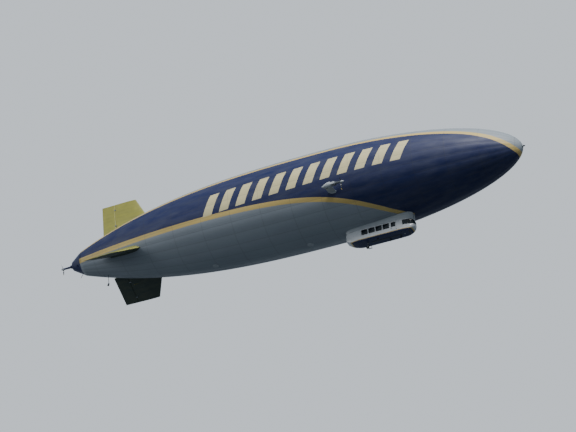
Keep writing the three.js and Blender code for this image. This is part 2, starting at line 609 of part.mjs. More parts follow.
// A leg whose castor fork swivels about an upright axis and holds one wheel behind it.
function addCastor({ prefix, wheelName, station, top, flange, crown, wheel, trail, cutter }) {
  const { radius: wheelRadius, half: wheelHalf } = wheel;
  const x = at(station);
  const legRadius = wheelHalf * 0.9;
  const leg = join([
    rod("z", crown + SEAT, top, legRadius * 0.62, 20),
    rod("z", crown + SEAT + CASTOR.collarGap, crown + CASTOR.collarTop, legRadius, 20),
    rod("z", top - flange, top, legRadius * 1.5, 20),
  ]).translate([x, 0, 0]);
  add(ship, `${prefix}_leg`, cutter ? leg.subtract(cutter) : leg, METAL);

  const { crownHalf, crownThick, armHalf, armTop, armThick, eyeHalf, footHalf, footDrop } = CASTOR;
  const axleZ = crown - wheelRadius - CASTOR.aboveWheel;
  const armIn = wheelHalf + RUNNING;
  const armOut = armIn + armThick;
  const ring = (y) => [
    [armHalf, y, crown - armTop], [-armHalf, y, crown - armTop],
    [-trail - eyeHalf, y, axleZ], [-trail - footHalf, y, axleZ - footDrop],
    [-trail + footHalf, y, axleZ - footDrop], [-trail + eyeHalf, y, axleZ],
  ];
  const arms = [[-armOut, -armIn], [armIn, armOut]].map(([low, high]) => loft([ring(low), ring(high)]));
  const crownBlock = box([-crownHalf, -armOut, crown - crownThick], [crownHalf, armOut, crown]);
  const bore = rod("y", -armOut * 2, armOut * 2, CASTOR.bore, 20).translate([-trail, 0, axleZ]);
  const fork = join([crownBlock, ...arms]).subtract(bore);
  add(ship, `${prefix}_fork`, fork.translate([x, 0, 0]), METAL);

  const rim = wheelRadius * 0.55;
  const shoulder = wheelRadius - wheelHalf * 0.45;
  // Columns: radius, distance from the wheel's middle plane, from the tread in to the axle's end.
  const half = [
    [wheelRadius, wheelHalf * 0.5], [shoulder, wheelHalf], [rim, wheelHalf * 0.9], [rim, wheelHalf * 0.6],
    [CASTOR.axle, wheelHalf * 0.6], [CASTOR.axle, armOut], [0, armOut],
  ];
  const otherHalf = half.map(([radius, along]) => [radius, -along]).reverse();
  const wholeWheel = turned([...otherHalf, ...half], 24).rotate([90, 0, 0]);
  add(ship, wheelName, wholeWheel.translate([x - trail, 0, axleZ]), TYRE);
}

addHull();
addTail();
addSideEngine("port", 1);
addSideEngine("starboard", -1);
addStern();
addCabinShell();
DOORS.forEach(addDoor);
addFairing();
addSeats();
addConsole();
addCastor({
  prefix: "main", wheelName: "main_wheel", station: 12500, top: CAB.bottom - SEAT, flange: 16, crown: -4870,
  wheel: { radius: 120, half: 48 }, trail: 60, cutter: null,
});
addCastor({
  prefix: "tail", wheelName: "tail_wheel", station: 33350, top: -1400, flange: 130, crown: -2290,
  wheel: { radius: 80, half: 34 }, trail: 45, cutter: hullCutter,
});

export default ship;
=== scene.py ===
"""Advertising airship at half scale: the looks of every piece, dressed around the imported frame.

Metres, +X to the bow, +Y to port, +Z up, with the origin at the hull's centre of lift.
A station is a distance aft of the hull's apex, measured along its axis.
"""
from __future__ import annotations

import logging
import math
from dataclasses import dataclass, field
from enum import Enum
from typing import Callable, Iterable, Sequence

import bmesh
import bpy
from mathutils import Matrix, Vector
from mathutils.kdtree import KDTree


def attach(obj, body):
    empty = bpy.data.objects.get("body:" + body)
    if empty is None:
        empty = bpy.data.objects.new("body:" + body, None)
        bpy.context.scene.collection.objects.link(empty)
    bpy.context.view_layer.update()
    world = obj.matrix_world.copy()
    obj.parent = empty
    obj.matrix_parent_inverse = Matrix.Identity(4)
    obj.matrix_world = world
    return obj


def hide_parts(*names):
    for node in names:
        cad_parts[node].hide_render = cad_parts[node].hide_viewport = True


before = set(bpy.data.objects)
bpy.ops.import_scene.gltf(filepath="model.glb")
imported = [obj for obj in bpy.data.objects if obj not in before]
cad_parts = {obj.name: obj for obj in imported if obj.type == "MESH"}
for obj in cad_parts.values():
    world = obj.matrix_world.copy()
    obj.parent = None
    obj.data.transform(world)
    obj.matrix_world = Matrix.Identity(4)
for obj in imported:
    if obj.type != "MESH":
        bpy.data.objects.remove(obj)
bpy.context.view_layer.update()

LOG = logging.getLogger("airship")
LIFT_STATION = 17.18
ROOT = "airship"
# Distances that the hull's mesh carries for its colours.
GUIDES = ("lower_line", "upper_line", "motif_along", "motif_up", "motif_inside", "seam")

Point = tuple[float, float, float]
Row = tuple[float, ...]
Ring = list[Vector]
Path = list[tuple[Vector, Vector]]
Form = bmesh.types.BMesh
Socket = bpy.types.NodeSocket


class Side(Enum):
    """The two sides of the ship, as the sign of Y."""

    PORT = 1
    STARBOARD = -1

    @property
    def label(self) -> str:
        """The side's name as the frame spells it."""
        return self.name.lower()


class Facing(Enum):
    """Where a drive points: to the bow, to the stern or to port."""

    BOW = Matrix.Rotation(math.pi / 2, 3, "Y")
    STERN = Matrix.Rotation(math.pi, 3, "Z") @ Matrix.Rotation(math.pi / 2, 3, "Y")
    PORT = Matrix.Rotation(-math.pi / 2, 3, "X")


def at(station: float) -> float:
    """X of a station."""
    return LIFT_STATION - station


def mix(low: float, high: float, share: float) -> float:
    """Straight mix of two numbers."""
    return low + (high - low) * share


def smooth(share: float) -> float:
    """Eased share from 0 to 1."""
    share = min(max(share, 0.0), 1.0)
    return share * share * (3.0 - 2.0 * share)


def linear(hex_code: str) -> tuple[float, float, float, float]:
    """Turns an sRGB hex colour to linear light.

    Args:
        hex_code: Six hex digits, such as "12214c".

    Returns:
        Linear red, green, blue and an alpha of 1.
    """
    channels = [int(hex_code[i:i + 2], 16) / 255 for i in (0, 2, 4)]
    light = [c / 12.92 if c <= 0.04045 else ((c + 0.055) / 1.055) ** 2.4 for c in channels]
    return (light[0], light[1], light[2], 1.0)


def add_node(
    tree: bpy.types.NodeTree, kind: str, inputs: dict | None = None, output: int | str = 0, **settings: object
) -> Socket:
    """Adds a shader node with its settings, values and links.

    Args:
        tree: The node tree that takes the node.
        kind: The node's type name without its "ShaderNode" prefix.
        inputs: Values, hex colours or sockets by the input's name or place.
        output: Name or place of the output that is wanted.
        settings: Properties of the node.

    Returns:
        That output of the new node.
    """
    node = tree.nodes.new("ShaderNode" + kind)
    for name, value in settings.items():
        setattr(node, name, value)
    for name, value in (inputs or {}).items():
        if isinstance(value, bpy.types.NodeSocket):
            tree.links.new(value, node.inputs[name])
        else:
            node.inputs[name].default_value = linear(value) if isinstance(value, str) else value
    return node.outputs[output]


@dataclass(frozen=True)
class Surface:
    """A material while its finish is drawn on it, with the place in the piece's own metres."""

    tree: bpy.types.NodeTree
    shader: bpy.types.Node
    place: Socket

    def add(self, kind: str, inputs: dict | None = None, output: int | str = 0, **settings: object) -> Socket:
        """Adds a node to the material, as add_node does."""
        return add_node(self.tree, kind, inputs, output, **settings)

    def clouds(
        self, size_mm: float, stretch: Point = (1, 1, 1), detail: float = 3.0,
        span: tuple[float, float] | None = None,
    ) -> Socket:
        """Cloudy pattern whose blotches have a real size.

        Args:
            size_mm: Width of one blotch in millimetres.
            stretch: How much shorter the blotches are along X, Y and Z.
            detail: Levels of finer pattern.
            span: Values that the pattern's middle part is spread over.

        Returns:
            A socket from 0 to 1, or over the span where there is one.
        """
        spread = self.add("Mapping", {"Vector": self.place, "Scale": stretch})
        values = {"Vector": spread, "Scale": 1000.0 / size_mm, "Detail": detail, "Roughness": 0.55}
        pattern = self.add("TexNoise", values, "Fac")
        if not span:
            return pattern
        return self.add("MapRange", {"Value": pattern, 1: 0.3, 2: 0.7, 3: span[0], 4: span[1]})

    def lay(self, base: Socket | str, *coats: tuple[Socket, Socket | str]) -> Socket:
        """Lays coats of colour over one another, each as thick as its mask says.

        Args:
            base: The colour underneath, a hex code or a socket.
            coats: A mask and a colour for each coat, from the lowest up.

        Returns:
            The colour that shows.
        """
        for mask, colour in coats:
            base = self.add("Mix", {0: mask, 6: base, 7: colour}, 2, data_type="RGBA")
        return base

    def cover(
        self, colour: Socket, satin: Socket | None, relief: Socket, depth_mm: float, strength: float
    ) -> None:
        """Gives the surface its patterns.

        Args:
            colour: Its colour.
            satin: Its roughness, or none where the finish's own value holds all over.
            relief: Its height, from 0 to 1.
            depth_mm: The relief's real depth in millimetres.
            strength: Share of the relief that shows.
        """
        bump = self.add("Bump", {"Height": relief, "Distance": depth_mm / 1000, "Strength": strength})
        for name, value in (("Base Color", colour), ("Roughness", satin), ("Normal", bump)):
            if value:
                self.tree.links.new(value, self.shader.inputs[name])


@dataclass(frozen=True)
class Finish:
    """A surface finish: what it is called, its slot in the record, and its base values."""

    name: str
    slot: str
    colour: str
    roughness: float = 0.5
    metallic: float = 0.0
    ior: float = 1.5
    coat: float = 0.0
    coat_roughness: float = 0.1

    def material(self) -> bpy.types.Material:
        """Builds the material, or returns the one built before.

        Returns:
            The finish's material.
        """
        made = bpy.data.materials.get(self.name)
        if made:
            return made
        made = bpy.data.materials.new(self.name)
        made.use_nodes = True
        shader = made.node_tree.nodes["Principled BSDF"]
        for name, value in (
            ("Base Color", linear(self.colour)), ("Roughness", self.roughness), ("Metallic", self.metallic),
            ("IOR", self.ior), ("Coat Weight", self.coat), ("Coat Roughness", self.coat_roughness),
        ):
            shader.inputs[name].default_value = value
        place = add_node(made.node_tree, "TexCoord", output="Object")
        self.shade(Surface(made.node_tree, shader, place))
        return made

    def shade(self, on: Surface) -> None:
        """Draws the pattern of the finish; each finish has its own."""


@dataclass(frozen=True)
class HullLaminate(Finish):
    """Coated polyester laminate, welded in gores: satin, with faint tape lines and slow waves of tone.

    The colours follow distances that the hull's mesh carries, in metres along the skin.
    """

    stripe: float = 0.36
    bar_width: float = 0.76
    bar_height: float = 1.66
    bar_pitch: float = 1.36
    ring_pitch: float = 2.4
    tape: float = 0.03
    edge: float = 0.006

    def band(self, on: Surface, distance: Socket, low: float, high: float) -> Socket:
        """Marks where a distance lies between two values.

        Args:
            on: The material being drawn.
            distance: The distance in metres.
            low: Where the mark starts.
            high: Where it ends.

        Returns:
            1 inside the band and 0 outside, with an edge a few millimetres soft.
        """
        rise = on.add("MapRange", {"Value": distance, 1: low - self.edge, 2: low + self.edge})
        fall = on.add("MapRange", {"Value": distance, 1: high + self.edge, 2: high - self.edge})
        return on.add("Math", {0: rise, 1: fall}, operation="MULTIPLY")

    def shade(self, on: Surface) -> None:
        """Lays navy, silver and gold by the mesh's guides, then the seams and the weave.

        Args:
            on: The material being drawn.
        """
        cloud = on.clouds(2600, (0.5, 1, 1))
        tones = (("0d1a45", "14245a"), ("858e97", "9aa3ab"), ("c9ab5c", "d9c07a"), ("d2c690", "e4dab0"))
        navy, silver, gold, cream = (on.lay(deep, (cloud, pale)) for deep, pale in tones)
        guides = {name: on.add("Attribute", output="Fac", attribute_name=name) for name in GUIDES}
        lines = (guides["lower_line"], guides["upper_line"])
        above, crown = (on.add("MapRange", {"Value": line, 1: -self.edge, 2: self.edge}) for line in lines)
        stripes = [(self.band(on, line, -self.stripe / 2, self.stripe / 2), gold) for line in lines]
        colour = on.lay(silver, (above, navy), (crown, silver), *stripes, (self.bars(on, guides), cream))

        seam = self.band(on, guides["seam"], -self.tape, self.tape)
        along = on.add("SeparateXYZ", {0: on.place}, "X")
        hoop = on.add("Math", {0: along, 1: self.ring_pitch / 2}, operation="PINGPONG")
        hoop = self.band(on, hoop, -self.tape, self.tape)
        tapes = on.add("Math", {0: seam, 1: hoop}, operation="MAXIMUM")
        worn = on.add("HueSaturation", {"Value": 0.84, "Saturation": 0.95, "Color": colour})
        dust = on.clouds(420, (0.25, 1, 1), 6.0, span=(0.0, 0.12))
        colour = on.lay(colour, (tapes, worn), (dust, "8d8f8c"))
        # The yarns are under a millimetre, so the weave is drawn 30 mm wide to show at all.
        yarns = {"Vector": on.place, "Scale": 10.0, "Distortion": 0.4}
        weave = on.add("TexWave", yarns, "Fac", bands_direction="DIAGONAL")
        weave = on.add("Math", {0: weave, 1: 0.1}, operation="MULTIPLY")
        relief = on.add("Math", {0: weave, 1: tapes}, operation="ADD")
        on.cover(colour, on.clouds(900, (0.4, 1, 1), span=(0.46, 0.6)), relief, 3.0, 0.6)

    def bars(self, on: Surface, guides: dict[str, Socket]) -> Socket:
        """Marks a row of plain slanted bars along the side.

        Args:
            on: The material being drawn.
            guides: The distances that the mesh carries.

        Returns:
            1 on a bar and 0 elsewhere.
        """
        along = {0: guides["motif_along"], 1: self.bar_pitch / 2}
        across, tall = self.bar_width / 2, self.bar_height / 2
        mark = self.band(on, on.add("Math", along, operation="PINGPONG"), -across, across)
        for name, low, high in (("motif_up", -tall, tall), ("motif_inside", 0.0, 99.0)):
            more = self.band(on, guides[name], low, high)
            mark = on.add("Math", {0: mark, 1: more}, operation="MULTIPLY")
        return mark


@dataclass(frozen=True)
class DopedCover(Finish):
    """Fabric pulled tight over a light frame and doped: gold dulled to olive, with painted shade in dark
    grey-green on faces that point down.
    """

    def shade(self, on: Surface) -> None:
        """Adds slow waves of tone, painted shade on the faces that point down, dust and a fine weave.

        Args:
            on: The material being drawn.
        """
        cloud = on.clouds(700)
        # Painted shade: the gold is darker and more olive than the real paint, and faces that point down turn
        # dark grey-green.
        gold, shade_grey = on.lay("8b8a3c", (cloud, "a5a250")), on.lay("303c3a", (cloud, "3c4a47"))
        facing = on.add("SeparateXYZ", {0: on.add("TexCoord", output="Normal")}, "Z")
        # Mask of the painted shade: faces whose normal points down past about -0.3.
        under = on.add("MapRange", {"Value": facing, 1: -0.3, 2: -0.36})
        dust = on.clouds(240, (0.4, 1, 1), 6.0, span=(0.0, 0.25))
        colour = on.lay(gold, (under, shade_grey), (dust, "747255"))
        # Weave drawn 12 mm wide, far coarser than the real yarn, so that it shows close by.
        yarns = {"Vector": on.place, "Scale": 26.0, "Distortion": 0.6}
        fine = on.add("TexWave", yarns, "Fac", bands_direction="DIAGONAL")
        on.cover(colour, on.clouds(260, span=(0.4, 0.56)), fine, 0.6, 0.35)


@dataclass(frozen=True)
class SprayedPaint(Finish):
    """Two-pack paint sprayed on laminate or sheet: smooth with faint orange peel and drawn-out dirt."""

    second: str = ""
    waterline: float = 0.0
    line: str = ""
    line_half: float = 0.022
    edge: float = 0.002

    def shade(self, on: Surface) -> None:
        """Adds a second colour below a waterline where there is one, then streaks and orange peel.

        Args:
            on: The material being drawn.
        """
        colour = self.coat_colour(on)
        # Streaks run aft with the air, about 300 mm long.
        dirt = on.clouds(90, (0.3, 1, 1), 5.0, span=(0.0, 0.22))
        dusted = on.add("HueSaturation", {"Value": 0.72, "Saturation": 0.8, "Color": colour})
        satin = on.clouds(140, span=(self.roughness - 0.06, self.roughness + 0.08))
        # Orange peel is drawn 8 mm wide, about four times its real size, so that it shows.
        on.cover(on.lay(colour, (dirt, dusted)), satin, on.clouds(8), 0.25, 0.3)

    def coat_colour(self, on: Surface) -> Socket:
        """Colour of the paint at each point.

        Args:
            on: The material being drawn.

        Returns:
            The coat's colour, split at the waterline if the finish has two colours.
        """
        cloud = on.clouds(500)
        upper = on.lay(self.colour, (cloud, self.lighter(self.colour, 1.06)))
        if not self.second:
            return upper
        height, line = on.add("SeparateXYZ", {0: on.place}, "Z"), self.waterline
        lower = on.lay(self.second, (cloud, self.lighter(self.second, 1.15)))
        above = on.add("MapRange", {"Value": height, 1: line - self.edge, 2: line + self.edge})
        away = on.add("Math", {0: height, 1: line}, operation="SUBTRACT")
        away = on.add("Math", {0: away}, operation="ABSOLUTE")
        near = on.add("MapRange", {"Value": away, 1: self.line_half + self.edge, 2: self.line_half})
        return on.lay(lower, (above, upper), (near, self.line))

    def lighter(self, hex_code: str, factor: float) -> str:
        """A colour made lighter by a factor, as a hex code."""
        channels = [min(255, round(int(hex_code[i:i + 2], 16) * factor)) for i in (0, 2, 4)]
        return "".join(f"{c:02x}" for c in channels)


@dataclass(frozen=True)
class LacqueredLaminate(Finish):
    """Carbon laminate under dark lacquer: a clear coat over cloth whose tows catch the light."""

    tip: str = ""
    tip_start: float = 0.0
    tip_edge: float = 0.01

    def shade(self, on: Surface) -> None:
        """Adds the cloth's check, scuffs and, on a blade, a painted tip.

        Args:
            on: The material being drawn.
        """
        cloth = on.add("TexChecker", {"Vector": on.place, "Scale": 62.0}, "Fac")
        scuff = on.clouds(120, detail=6.0, span=(0.0, 0.25))
        colour = on.lay(self.colour, (cloth, "2c3036"), (scuff, "3b3f45"))
        if self.tip:
            reach = on.add("Attribute", output="Fac", attribute_name="reach")
            low, high = self.tip_start - self.tip_edge, self.tip_start + self.tip_edge
            colour = on.lay(colour, (on.add("MapRange", {"Value": reach, 1: low, 2: high}), self.tip))
        on.cover(colour, on.clouds(60, span=(0.28, 0.45)), on.clouds(30), 0.2, 0.25)


@dataclass(frozen=True)
class WorkedMetal(Finish):
    """Cast, machined or anodised alloy: fine grain along the cut and darker oily patches."""

    grain_mm: float = 4.0
    grime: str = "3c3e40"

    def shade(self, on: Surface) -> None:
        """Adds grain, patches of grime and a varied polish.

        Args:
            on: The material being drawn.
        """
        patches = on.clouds(180, detail=6.0, span=(0.0, 0.35))
        polish = (self.roughness - 0.1, self.roughness + 0.12)
        satin, grain = (on.clouds(self.grain_mm, (0.2, 1, 1), 4.0, span) for span in (polish, None))
        on.cover(on.lay(self.colour, (patches, self.grime)), satin, grain, 0.3, 0.4)


@dataclass(frozen=True)
class TintedPane(Finish):
    """Tinted acrylic sheet: dark, glossy and half see-through, with a slight ripple and wiping haze."""

    clear: float = 0.45

    def shade(self, on: Surface) -> None:
        """Adds transparency, haze and ripple.

        Args:
            on: The material being drawn.
        """
        on.shader.inputs["Transmission Weight"].default_value = self.clear
        haze = on.clouds(160, detail=5.0, span=(0.02, 0.1))
        on.cover(on.lay(self.colour, (on.clouds(420), "2a3742")), haze, on.clouds(300), 0.8, 0.2)


@dataclass(frozen=True)
class MouldedRubber(Finish):
    """Rubber from a mould: matt black, greyed by dust in its grain."""

    def shade(self, on: Surface) -> None:
        """Adds dust and a fine grain.

        Args:
            on: The material being drawn.
        """
        dust = on.clouds(45, detail=6.0, span=(0.0, 0.4))
        satin = on.clouds(20, span=(0.75, 0.92))
        on.cover(on.lay(self.colour, (dust, "4a4742")), satin, on.clouds(3), 0.3, 0.5)


@dataclass(frozen=True)
class GrainedHide(Finish):
    """Pigmented leather: small rounded pores in the grain, shinier where people sit."""

    def shade(self, on: Surface) -> None:
        """Adds the grain's cells, worn patches and their shine.

        Args:
            on: The material being drawn.
        """
        worn = on.clouds(90, span=(0.0, 0.5))
        # Pores are about 1 mm, drawn 3 mm wide.
        pores = {"Vector": on.place, "Scale": 330.0}
        cells = on.add("TexVoronoi", pores, "Distance", feature="DISTANCE_TO_EDGE")
        on.cover(on.lay(self.colour, (worn, "5a616b")), on.clouds(70, span=(0.5, 0.7)), cells, 0.8, 0.5)


@dataclass(frozen=True)
class LampLens(Finish):
    """Pressed glass lens: clear or coloured, with fine flutes that spread the light."""

    clear: float = 0.6

    def shade(self, on: Surface) -> None:
        """Adds transparency and flutes.

        Args:
            on: The material being drawn.
        """
        on.shader.inputs["Transmission Weight"].default_value = self.clear
        flutes = on.add("TexWave", {"Vector": on.place, "Scale": 50.0}, "Fac", wave_type="RINGS")
        colour = on.lay(self.colour, (on.clouds(25, span=(0.0, 0.35)), "ffffff"))
        on.cover(colour, None, flutes, 0.6, 0.5)


LAMINATE = HullLaminate("coated_hull_laminate", "hull_fabric", "12214c", 0.4, ior=1.46)
NAVY_PAINT = SprayedPaint("sprayed_navy", "drive_housing", "101f4e", 0.4, coat=0.2)
COVER = DopedCover("doped_gold_cover", "fin_cover", "989645", 0.45, ior=1.46)
GREY_PAINT = SprayedPaint("sprayed_light_grey", "drive_housing", "a9afb3", 0.34, coat=0.3)
CABIN_PAINT = SprayedPaint(
    "sprayed_cabin_two_tone", "cabin_shell", "c6cacd", 0.3, coat=0.4,
    second="13224f", waterline=-4.56, line="cbb066",
)
LACQUER = LacqueredLaminate("lacquered_carbon", "dark_composite", "1c1f23", 0.35, coat=0.6)
BLADE_LACQUER = LacqueredLaminate(
    "lacquered_blade", "dark_composite", "1c1f23", 0.35, coat=0.6, tip="d8c069", tip_start=0.9
)
CAST = WorkedMetal("cast_alloy", "machinery", "8b9095", 0.45, 0.9, grain_mm=6.0)
MACHINED = WorkedMetal("machined_steel", "machinery", "a2a6aa", 0.3, 1.0, grain_mm=2.5)
PANE = TintedPane("tinted_acrylic", "glazing", "18222b", 0.06, ior=1.49)
RUBBER = MouldedRubber("moulded_tyre_rubber", "tyre", "17181a", 0.85)
GASKET = MouldedRubber("moulded_window_gasket", "dark_composite", "1b1d20", 0.7)
HIDE = GrainedHide("grained_cabin_leather", "upholstery", "3b4048", 0.6)
CLEAR_LENS = LampLens("pressed_clear_lens", "lamp_lens", "dfe4e6", 0.08)
RED_LENS = LampLens("pressed_red_lens", "lamp_lens", "b3261e", 0.08)
GREEN_LENS = LampLens("pressed_green_lens", "lamp_lens", "1f8a4c", 0.08)


def piece(
    name: str, form: Form, finish: Finish, body: str = ROOT, replaces: Iterable[str] = (),
    angle: float = 35.0, recalculate: bool = True,
) -> bpy.types.Object:
    """Turns a finished form into a named piece of the ship.

    Args:
        name: The piece's name.
        form: Its mesh, in place; it is used up.
        finish: What its surface is.
        body: The body that it moves with.
        replaces: Nodes of the frame that it stands for.
        angle: Edges sharper than this many degrees stay crisp.
        recalculate: Whether the faces are turned outward first.

    Returns:
        The piece.
    """
    mesh = bpy.data.meshes.new(name)
    if recalculate:
        bmesh.ops.recalc_face_normals(form, faces=form.faces)
    for face in form.faces:
        face.smooth = True
    for edge in form.edges:
        if len(edge.link_faces) == 2 and edge.calc_face_angle(0.0) > math.radians(angle):
            edge.smooth = False
    form.to_mesh(mesh)
    form.free()
    thing = bpy.data.objects.new(name, mesh)
    bpy.context.scene.collection.objects.link(thing)
    mesh.materials.append(finish.material())
    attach(thing, body)
    if replaces:
        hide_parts(*replaces)
    LOG.info("%s: %d faces on %s", name, len(mesh.polygons), body)
    return thing


def refinish(node: str, finish: Finish) -> None:
    """Gives a node that is carried over its procedural material.

    Args:
        node: The node's name.
        finish: Its new finish.
    """
    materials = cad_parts[node].data.materials
    materials.clear()
    materials.append(finish.material())


def join_forms(forms: Iterable[Form]) -> Form:
    """Puts several forms in one, and uses them up.

    Args:
        forms: The forms.

    Returns:
        The form that holds them all.
    """
    whole = bmesh.new()
    for form in forms:
        scratch = bpy.data.meshes.new("scratch")
        form.to_mesh(scratch)
        form.free()
        whole.from_mesh(scratch)
        bpy.data.meshes.remove(scratch)
    return whole


def between(rows: Sequence[Row], place: float) -> Row:
    """Row at any place between rows that rise in their first column.

    Args:
        rows: The rows.
        place: A place on the first column's scale.

    Returns:
        The row there.
    """
    i = max((k for k in range(len(rows) - 1) if rows[k][0] <= place), default=0)
    share = min(max((place - rows[i][0]) / (rows[i + 1][0] - rows[i][0]), 0.0), 1.0)
    return tuple(mix(a, b, share) for a, b in zip(rows[i], rows[i + 1]))


def refine(rows: Sequence[Row], steps: int) -> list[Row]:
    """Adds rows between the given ones on curves that pass through them and never overshoot.

    Args:
        rows: Rows of numbers; the first column runs one way.
        steps: Spans that each gap between two rows is cut in.

    Returns:
        The finer rows.
    """
    gaps = [b[0] - a[0] for a, b in zip(rows, rows[1:])]
    rates = [[(q - p) / gap for p, q in zip(a, b)] for a, b, gap in zip(rows, rows[1:], gaps)]
    # The slope at a row is the harmonic mean of its neighbours', or none where they turn.
    slopes = [rates[0]]
    for before, after in zip(rates, rates[1:]):
        slopes.append([0.0 if p * q <= 0 else 2 * p * q / (p + q) for p, q in zip(before, after)])
    slopes.append(rates[-1])
    finer = []
    for i, gap in enumerate(gaps):
        for step in range(steps):
            t = step / steps
            row = [
                mix(a, b, t * t * (3 - 2 * t)) + t * (1 - t) * gap * ((1 - t) * p - t * q)
                for a, b, p, q in zip(rows[i], rows[i + 1], slopes[i], slopes[i + 1])
            ]
            finer.append((mix(rows[i][0], rows[i + 1][0], t), *row[1:]))
    return [*finer, tuple(rows[-1])]


def grooved(rows: Sequence[Row], places: Iterable[float], half: float, depth: float, signs: Row) -> list[Row]:
    """Cuts narrow panel grooves across a row of sections.

    Args:
        rows: Sections, each with its place first, rising.
        places: Middles of the grooves.
        half: A quarter of the groove's full width.
        depth: How deep it is.
        signs: How each further column shrinks with depth.

    Returns:
        The sections with the grooves' own added in their order.
    """
    added = []
    for middle in places:
        for offset, share in ((-2, 0), (-1, 1), (1, 1), (2, 0)):
            section = between(rows, middle + offset * half)
            sunk = [value - share * depth * sign for value, sign in zip(section[1:], signs)]
            added.append((section[0], *sunk))
        rows = [row for row in rows if abs(row[0] - middle) > half * 2.1]
    return sorted([*rows, *added])


def swept(rings: Sequence[Ring], capped: bool = True, looped: bool = False) -> Form:
    """Draws a ring of points through a row of places and skins the way between them.

    Args:
        rings: The ring's points at each place, all of one count.
        capped: Whether both ends are filled.
        looped: Whether the last ring joins the first.

    Returns:
        The skinned form.
    """
    form = bmesh.new()
    bmesh.ops.create_circle(form, cap_ends=False, segments=len(rings[0]), radius=1.0)
    order = list(form.verts)
    for vert, place in zip(order, rings[0]):
        vert.co = place
    first = list(form.edges)
    front = first
    for ring in rings[1:]:
        made = bmesh.ops.extrude_edge_only(form, edges=front)["geom"]
        fresh = {g for g in made if isinstance(g, bmesh.types.BMVert)}
        front = [g for g in made if isinstance(g, bmesh.types.BMEdge) and set(g.verts) <= fresh]
        order = [next(e.other_vert(v) for e in v.link_edges if e.other_vert(v) in fresh) for v in order]
        for vert, place in zip(order, ring):
            vert.co = place
    if looped:
        bmesh.ops.bridge_loops(form, edges=first + front)
    elif capped:
        for loop in (first, front):
            bmesh.ops.edgeloop_fill(form, edges=loop)
    return form


def spun(profile: Sequence[tuple[float, float]], steps: int) -> Form:
    """Turns a profile of (radius, height) points about +Z.

    Args:
        profile: The points.
        steps: Divisions around.

    Returns:
        The turned form.
    """
    form = bmesh.new()
    verts = [form.verts.new((radius, 0.0, height)) for radius, height in profile]
    edges = [form.edges.new(pair) for pair in zip(verts, verts[1:])]
    bmesh.ops.spin(
        form, geom=verts + edges, cent=(0, 0, 0), axis=(0, 0, 1), dvec=(0, 0, 0),
        angle=2 * math.pi, steps=steps, use_merge=True,
    )
    bmesh.ops.remove_doubles(form, verts=form.verts, dist=1e-6)
    return form


def soften(form: Form, edges: Iterable[bmesh.types.BMEdge], edge: float, segments: int = 2) -> Form:
    """Rounds some edges of a form and returns it.

    Args:
        form: The form.
        edges: Which of its edges.
        edge: Their radius.
        segments: Steps across each.

    Returns:
        The same form.
    """
    bmesh.ops.bevel(
        form, geom=list(edges), offset=edge, segments=segments, profile=0.5, affect="EDGES",
        material=-1, clamp_overlap=True,
    )
    return form


def sharp_edges(form: Form, degrees: float = 40.0) -> list[bmesh.types.BMEdge]:
    """Edges where two faces meet at more than an angle.

    Args:
        form: The form.
        degrees: The angle.

    Returns:
        The edges.
    """
    form.normal_update()
    limit = math.radians(degrees)
    return [e for e in form.edges if len(e.link_faces) == 2 and e.calc_face_angle(0.0) > limit]


def block(low: Point, high: Point, edge: float = 0.0, segments: int = 2) -> Form:
    """A box between two corners with its edges rounded.

    Args:
        low: One corner.
        high: The corner across from it.
        edge: Radius of the edges.
        segments: Steps across each rounded edge.

    Returns:
        The rounded box.
    """
    form = bmesh.new()
    size = [abs(b - a) for a, b in zip(low, high)]
    place = Matrix.Translation((Vector(low) + Vector(high)) / 2) @ Matrix.Diagonal((*size, 1.0))
    bmesh.ops.create_cube(form, size=1.0, matrix=place)
    return soften(form, form.edges, edge, segments) if edge else form


def rod(start: Point, end: Point, radius: float, sides: int = 16, edge: float = 0.0) -> Form:
    """A round bar from one point to another.

    Args:
        start: Middle of one end.
        end: Middle of the other.
        radius: Its radius.
        sides: Divisions around.
        edge: Radius of the rims.

    Returns:
        The bar.
    """
    form = bmesh.new()
    way = Vector(end) - Vector(start)
    lean = Vector((0, 0, 1)).rotation_difference(way).to_matrix().to_4x4()
    bmesh.ops.create_cone(
        form, cap_ends=True, segments=sides, radius1=radius, radius2=radius, depth=way.length,
        matrix=Matrix.Translation((Vector(start) + Vector(end)) / 2) @ lean,
    )
    return soften(form, sharp_edges(form, 65), edge) if edge else form


def tube(path: Sequence[Point], radius: float, sides: int = 12) -> Form:
    """A round bar along a path, with its ends filled.

    Args:
        path: Points on its middle line.
        radius: Its radius.
        sides: Divisions around.

    Returns:
        The bar.
    """
    points = [Vector(p) for p in path]
    circle = [Vector((radius * math.cos(a), radius * math.sin(a), 0)) for a in turns(sides)]
    rings = []
    for i, middle in enumerate(points):
        way = points[min(i + 1, len(points) - 1)] - points[max(i - 1, 0)]
        lean = Vector((0, 0, 1)).rotation_difference(way)
        rings.append([middle + lean @ point for point in circle])
    return swept(rings)


def turns(count: int) -> list[float]:
    """Even angles of a full turn."""
    return [2 * math.pi * i / count for i in range(count)]


def move(form: Form, way: Point) -> Form:
    """Shifts a form and returns it."""
    bmesh.ops.translate(form, verts=form.verts, vec=way)
    return form


def turn(form: Form, matrix: Matrix, centre: Point = (0, 0, 0)) -> Form:
    """Rotates a form about a point and returns it."""
    bmesh.ops.rotate(form, verts=form.verts, cent=centre, matrix=matrix)
    return form


def about(degrees: float, axis: str) -> Matrix:
    """Rotation by some degrees about an axis."""
    return Matrix.Rotation(math.radians(degrees), 3, axis)


def around(count: int, make: Callable[[], Form], offset: float = 0.0) -> Form:
    """Forms in even steps about Z, the first turned by some degrees, as one form."""
    return join_forms(turn(make(), about(offset + 360 * i / count, "Z")) for i in range(count))


